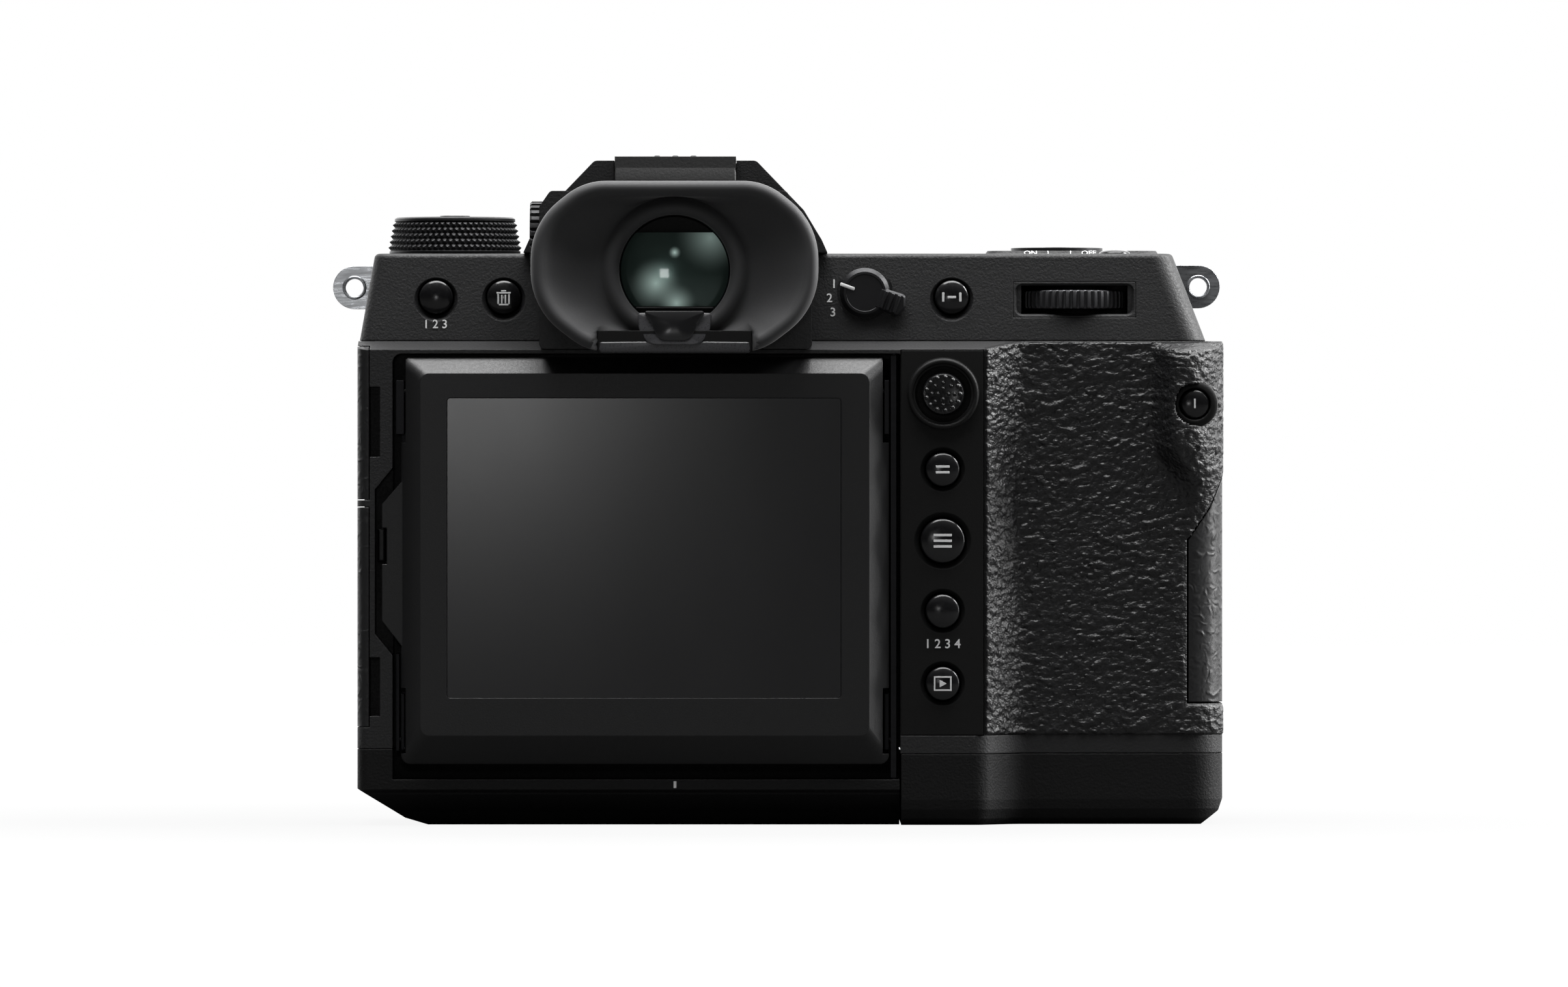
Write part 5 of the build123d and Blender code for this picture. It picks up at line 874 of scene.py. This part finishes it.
def thumb_rest(x, z):
    """Height of the thumb rest: eased up from its left foot and from its lower tail, which drifts right.

    It falls away to the right, and at the top it is turned in to the cover.
    """
    right_fall = 0.45
    foot = 83.2 + 5.2 * ease((66.5 - z) / 9)
    side = ease((x - foot) / 5.2) * (1 - right_fall * ease((x - 88.0) / 8.3))
    tail = ease((z - 53.5) / 15.0)
    turned_in = ease((84.8 - z) / 1.6)
    crown = ease((87.0 - z) / 5.5) * turned_in
    return side * tail * (0.3 * turned_in + 0.7 * crown)


def door_top_z(x):
    """Height of the card door's slanted top at a place across, with the gap above it."""
    return np.interp(x, [90.2, 94.0, 96.3], [49.9, 55.4, 60.9]) + 0.4


def build_grip_leather():
    """The grip's plan line carried up in rows, pushed out by the leather's height and the thumb rest's.

    The relief fades at the covering's edges and at the door. The faces on the door and round the quick
    button are left out.
    """
    line = open_line(grip_path, grip_path_radii, leather_spacing)
    line = line[(line[:, 0] > leather_left_x) & (line[:, 1] < leather_front_y)]
    along = np.gradient(line, axis=0)
    along /= np.linalg.norm(along, axis=1, keepdims=True)
    outward = np.stack([along[:, 1], -along[:, 0]], -1)
    run = np.concatenate([[0], np.linalg.norm(np.diff(line, axis=0), axis=1).cumsum()])
    foot_gap = 0.05
    levels = np.arange(leather_foot_z + foot_gap, leather_top_z - foot_gap, leather_spacing)
    z = levels[:, None]
    across, depth = line.T
    right, back = outward.T
    fade = ease((z - leather_foot_z) / leather_edge_fade) * ease((leather_top_z - z) / leather_edge_fade)
    off_door = np.maximum(np.maximum(door_low_z - z, z - door_top_z(across)), door_left_x - across)
    raised = leather_relief * leather_height(run[None, :], z) * fade * ease(off_door / door_edge_fade)
    rest = rest_height * thumb_rest(across[None, :], z) * np.clip(-back, 0, 1)
    lean = np.clip((z - 83.3) / 1.7, 0, 1) * 9.0
    y = np.maximum(depth + back * (leather_lift + raised) - rest, leather_rear_y + lean)
    x = np.minimum(across + right * raised, leather_right_x)
    points = np.stack([x, y, np.broadcast_to(z, x.shape)], -1).reshape(-1, 3)
    faces = grid_faces(len(levels), len(line), around=False)
    face_x, face_y, face_z = points[faces].mean(1).T
    level_with_door = (face_z > door_low_z) & (face_z < door_top_z(face_x))
    on_door = level_with_door & (face_x > door_left_x) & (face_y < door_front_y)
    near_button = np.hypot(face_x - quick_place[0], face_z - quick_place[2]) < quick_hole_r
    at_rear = face_y < -20
    cut = on_door | (near_button & at_rear)
    skin = points, faces[~cut]
    piece = add_piece("grip_leather", "body", "grip_skin", skin, closed=False, sharp=80.0)
    shell = piece.modifiers.new("turned_in_edge", "SOLIDIFY")
    shell.thickness = leather_wall * MM
    shell.offset = -1
    shell.use_rim_only = True


build_grip_leather()


# Printed marks

# The built-in typeface's size for capitals one high, how deep its letters are made and how much bolder
SIZE_OF_HEIGHT = 1.4
LETTER_DEPTH = 0.06
LETTER_WEIGHT = 0.015


def printed(name, body, origin, shapes):
    """Ink on a face at the back, in the shape of one or more outlines with crisp corners."""
    profile = [(0, -0.45), (0, -0.02), (0.02, 0)]
    skins = [raised_skin("back", origin, shape, 0.05, profile, 3) for shape in shapes]
    add_piece(name, body, "ink", joined(*skins))


def lettered(name, body, origin, words, height, widen=1.0, slope=0.0):
    """Words in the built-in typeface, made a mesh and put on a face at the back that may slope forward."""
    curve = bpy.data.curves.new(name, "FONT")
    curve.body = words
    curve.align_x = "CENTER"
    curve.align_y = "CENTER"
    curve.size = height * SIZE_OF_HEIGHT
    curve.extrude = LETTER_DEPTH
    curve.offset = height * LETTER_WEIGHT
    text = bpy.data.objects.new(name + "_text", curve)
    bpy.context.scene.collection.objects.link(text)
    graph = bpy.context.evaluated_depsgraph_get()
    mesh = bpy.data.meshes.new_from_object(text.evaluated_get(graph))
    bpy.data.objects.remove(text)
    points = np.array([v.co for v in mesh.vertices])
    placed = facing("back", points[:, :2] * [widen, 1.0], points[:, 2], origin)
    placed[:, 1] += slope * (placed[:, 2] - origin[2])
    mesh.vertices.foreach_set("co", (placed * MM).astype(np.float32).ravel())
    mesh.materials.clear()
    mesh.materials.append(finish["ink"])
    piece = bpy.data.objects.new(name, mesh)
    bpy.context.scene.collection.objects.link(piece)
    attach(piece, body)


def bar(x, z, wide, tall):
    """A small rectangle by its middle."""
    return rectangle((x - wide / 2, z - tall / 2), (x + wide / 2, z + tall / 2))


bin_shapes = [
    bar(0, 0.75, 2.5, 0.28),
    bar(0, 1.1, 0.9, 0.22),
    bar(0, -1.32, 1.7, 0.26),
    bar(-0.95, -0.35, 0.3, 1.75),
    bar(0.95, -0.35, 0.3, 1.75),
    bar(-0.32, -0.35, 0.26, 1.5),
    bar(0.32, -0.35, 0.26, 1.5),
]
play_shapes = [
    [(-0.55, -0.65), (0.7, 0.0), (-0.55, 0.65)],
    bar(0, 1.15, 3.1, 0.26),
    bar(0, -1.15, 3.1, 0.26),
    bar(-1.42, 0, 0.26, 2.1),
    bar(1.42, 0, 0.26, 2.1),
]
menu_shapes = [bar(0, z, 3.2, 0.42) for z in (1.0, 0, -1.0)]
af_shapes = [bar(0, 0, 1.5, 0.4), bar(-1.5, 0, 0.4, 1.6), bar(1.5, 0, 0.4, 1.6)]
ael_shapes = [bar(0, 0.5, 2.4, 0.4), bar(0, -0.5, 2.4, 0.4)]
panel_cap_y = -34.53
rear_cap_y = -(top_back_y(92.6) + 1.13)
printed_marks = [
    ("delete_mark", "delete_button", (-30.2, rear_cap_y, 92.6), bin_shapes),
    ("playback_mark", "playback_button", (46.9, panel_cap_y, 24.8), play_shapes),
    ("menu_mark", "menu_button", (46.9, panel_cap_y, 49.8), menu_shapes),
    ("af_mark", "af_on_button", (48.6, rear_cap_y, 92.6), af_shapes),
    ("ael_mark", "ael_button", (46.9, panel_cap_y, 62.3), ael_shapes),
    ("centre_mark", "body", (0.0, -33.56, 7.1), [bar(0, 0, 0.5, 1.2)]),
]
for name, body, origin, shapes in printed_marks:
    printed(name, body, origin, shapes)


def on_top_back(x, z):
    """A place just above the top cover's sloping rear."""
    return x, -(top_back_y(z) + 0.03), z


# The marks on the step's face, which slopes three for two
step_y = -3.78
step_z = 100.7
step_slope = 1.5
lettered("quick_mark", "quick_button", (91.2, -29.6, 73.8), "1", 1.7)
lettered("power_on_mark", "body", (62.8, step_y, step_z), "ON", 0.72, 1.5, step_slope)
lettered("power_off_mark", "body", (73.1, step_y, step_z), "OFF", 0.72, 1.5, step_slope)
lettered("drive_mark", "body", on_top_back(-42.2, 87.8), "1 2 3", 1.5, 1.0, top_back_slope)
lettered("display_mark", "body", (46.9, -33.55, 31.7), "1 2 3 4", 1.6)
for number, x in enumerate((65.9, 69.9)):
    lettered(f"power_place_{number}", "body", (x, step_y, step_z), "I", 0.72, 1.3, step_slope)
for words, x, z in (("1", 27.9, 94.9), ("2", 27.1, 92.4), ("3", 27.7, 89.9)):
    lettered("focus_place_" + words, "body", on_top_back(x, z), words, 1.55, 1.0, top_back_slope)


# Shoe cover ridges, light by the thumb rest and eyelets in the lugs

for number, x in enumerate((-3.2, 0.0, 3.2)):
    ridge = rectangle((x - 0.55, -24.5), (x + 0.55, -6.0))
    skin = raised_skin("up", (0, 0, 0), ridge, 0.3, [(0, 116.9), (0, 117.35), (0.2, 117.5)], 4)
    add_piece(f"shoe_cover_ridge_{number}", "shoe_cover", "shoe_cover", skin)
end_face = [(-26.6, 112.9), (-24.85, 112.9), (-24.85, 117.3), (-25.5, 117.3)]
end_profile = [(0.2, -10.65), (0, -10.45), (0, 10.45), (0.2, 10.65)]
skin = raised_skin("right", (0, 0, 0), end_face, 0.2, end_profile, 4)
add_piece("shoe_cover_end", "shoe_cover", "shoe_cover", skin)
skin = turned_skin("back", (91.6, 0, 66.1), [(0.7, 28.0), (0.7, 29.15), (0.5, 29.3)], 24)
add_piece("card_light", "body", "button", skin)
for number, (x, z) in enumerate(((-57.0, 94.55), (92.5, 94.7))):
    for side, y in (("back", -4.1), ("front", -1.9)):
        skin = tube_ring("back", (x, y, z), 1.85, 0.28, 40, 8)
        add_piece(f"lug_eyelet_{number}_{side}", "body", "lug", skin)


# Stage, lamps and camera

FLOOR_GAP = 0.05 * MM
# The floor's share of white near the object, the distances over which it becomes all white, and its strength
FLOOR_WHITE = 0.82
FADE_START = 0.1
FADE_END = 0.4
WHITE_GLOW = 1.1
ROOM_GLOW = 0.03
BACKDROP_GLOW = 2.4
OVERHEAD_GLOW = 0.4


def build_stage():
    """A pale floor under the object's lowest face, clear from below.

    The camera sees it fade to white away from the shadow.
    """
    floor = bpy.data.objects.new("floor", bpy.data.meshes.new("floor"))
    reach = 3.0
    level = cad_low.z - FLOOR_GAP
    square = [(x, y, level) for x, y in rectangle((-reach, -reach), (reach, reach))]
    floor.data.from_pydata(square, [], [(0, 1, 2, 3)])
    material, tree, place, shader = new_material("studio_floor")
    fill(tree, shader, {"Base Color": srgb("#484848"), "Roughness": 0.9, "Specular IOR Level": 0.2})
    far = node(tree, "VectorMath", {0: place}, operation="LENGTH").outputs["Value"]
    fading = {"Value": far, "From Min": FADE_START, "From Max": FADE_END, "To Min": FLOOR_WHITE}
    fade = node(tree, "MapRange", {**fading, "To Max": 1.0}).outputs["Result"]
    seen = node(tree, "LightPath").outputs["Is Camera Ray"]
    share = node(tree, "Math", {0: fade, 1: seen}, operation="MULTIPLY").outputs[0]
    white = node(tree, "Emission", {"Color": srgb("#ffffff"), "Strength": WHITE_GLOW}).outputs[0]
    above = node(tree, "MixShader", {0: share, 1: shader.outputs["BSDF"], 2: white}).outputs[0]
    under = node(tree, "NewGeometry").outputs["Backfacing"]
    clear = node(tree, "Math", {0: under, 1: seen}, operation="MULTIPLY").outputs[0]
    nothing = node(tree, "BsdfTransparent").outputs[0]
    mixed = node(tree, "MixShader", {0: clear, 1: above, 2: nothing}).outputs[0]
    output = next(n for n in tree.nodes if n.type == "OUTPUT_MATERIAL")
    tree.links.new(mixed, output.inputs["Surface"])
    floor.data.materials.append(material)
    bpy.context.scene.collection.objects.link(floor)


def build_world():
    """A dark studio with a bright backdrop beyond the object, which its slopes and rims reflect."""
    world = bpy.data.worlds.new("studio")
    bpy.context.scene.world = world
    world.use_nodes = True
    tree = world.node_tree
    tree.nodes.clear()
    direction = node(tree, "TexCoord").outputs["Generated"]
    sides = node(tree, "SeparateXYZ", {0: direction}).outputs
    beyond = {"Value": sides["Y"], "From Min": 0.05, "From Max": 0.5}
    backdrop = node(tree, "MapRange", {**beyond, "To Min": ROOM_GLOW, "To Max": BACKDROP_GLOW}).outputs[0]
    above = {"Value": sides["Z"], "From Min": 0.3, "From Max": 1.0}
    overhead = node(tree, "MapRange", {**above, "To Min": 0.0, "To Max": OVERHEAD_GLOW}).outputs[0]
    light = node(tree, "Math", {0: backdrop, 1: overhead}, operation="ADD").outputs[0]
    soft = node(tree, "Background", {"Color": srgb("#ffffff"), "Strength": light}).outputs[0]
    white = node(tree, "Background", {"Color": srgb("#ffffff"), "Strength": 1.0}).outputs[0]
    path = node(tree, "LightPath").outputs
    seen = node(tree, "Math", {0: path["Is Camera Ray"], 1: path["Is Transmission Ray"]}, operation="MAXIMUM")
    mixed = node(tree, "MixShader", {0: seen.outputs[0], 1: soft, 2: white}).outputs[0]
    node(tree, "OutputWorld", {"Surface": mixed})


def build_lamp(name, place, target, wide, tall, power):
    """A soft box that faces a target."""
    data = bpy.data.lights.new(name, "AREA")
    data.shape = "RECTANGLE"
    data.size = wide
    data.size_y = tall
    data.energy = power
    lamp = bpy.data.objects.new(name, data)
    bpy.context.scene.collection.objects.link(lamp)
    lamp.visible_camera = False
    lamp.location = place
    lamp.rotation_mode = "QUATERNION"
    lamp.rotation_quaternion = (Vector(target) - Vector(place)).to_track_quat("-Z", "Y")


build_stage()
build_world()
middle = (0.02, 0, 0.055)
build_lamp("screen_box", (-0.052, -0.55, 0.092), (-0.03, -0.03, 0.07), 0.04, 0.04, 0.06)
build_lamp("top_box", (0.05, -0.13, 0.9), middle, 1.0, 0.5, 21.0)
build_lamp("right_box", (0.75, 0.03, 0.55), middle, 0.3, 0.3, 11.0)
build_lamp("rim_box", (0.85, 0.06, 0.2), middle, 0.15, 0.4, 4.0)


def build_camera():
    """A long lens square to the object's back, whose frame is as wide as the photograph there."""
    millimetres_per_pixel = 0.1141
    axis_pixel = 1036.6
    base_pixel = 1266.6
    distance = 2.6
    back_y = -0.0335
    frame_width = IMAGE_WIDTH * millimetres_per_pixel * MM
    middle_x = (IMAGE_WIDTH / 2 - axis_pixel) * millimetres_per_pixel * MM
    middle_z = (base_pixel - IMAGE_HEIGHT / 2) * millimetres_per_pixel * MM
    data = bpy.data.cameras.new("camera")
    data.sensor_width = 36.0
    data.lens = data.sensor_width * distance / frame_width
    data.clip_end = 20.0
    view = bpy.data.objects.new("camera", data)
    bpy.context.scene.collection.objects.link(view)
    view.location = (middle_x, back_y - distance, middle_z)
    view.rotation_euler = (np.pi / 2, 0, 0)
    bpy.context.scene.camera = view


build_camera()
bpy.context.scene.view_settings.view_transform = "Standard"
bpy.context.view_layer.update()
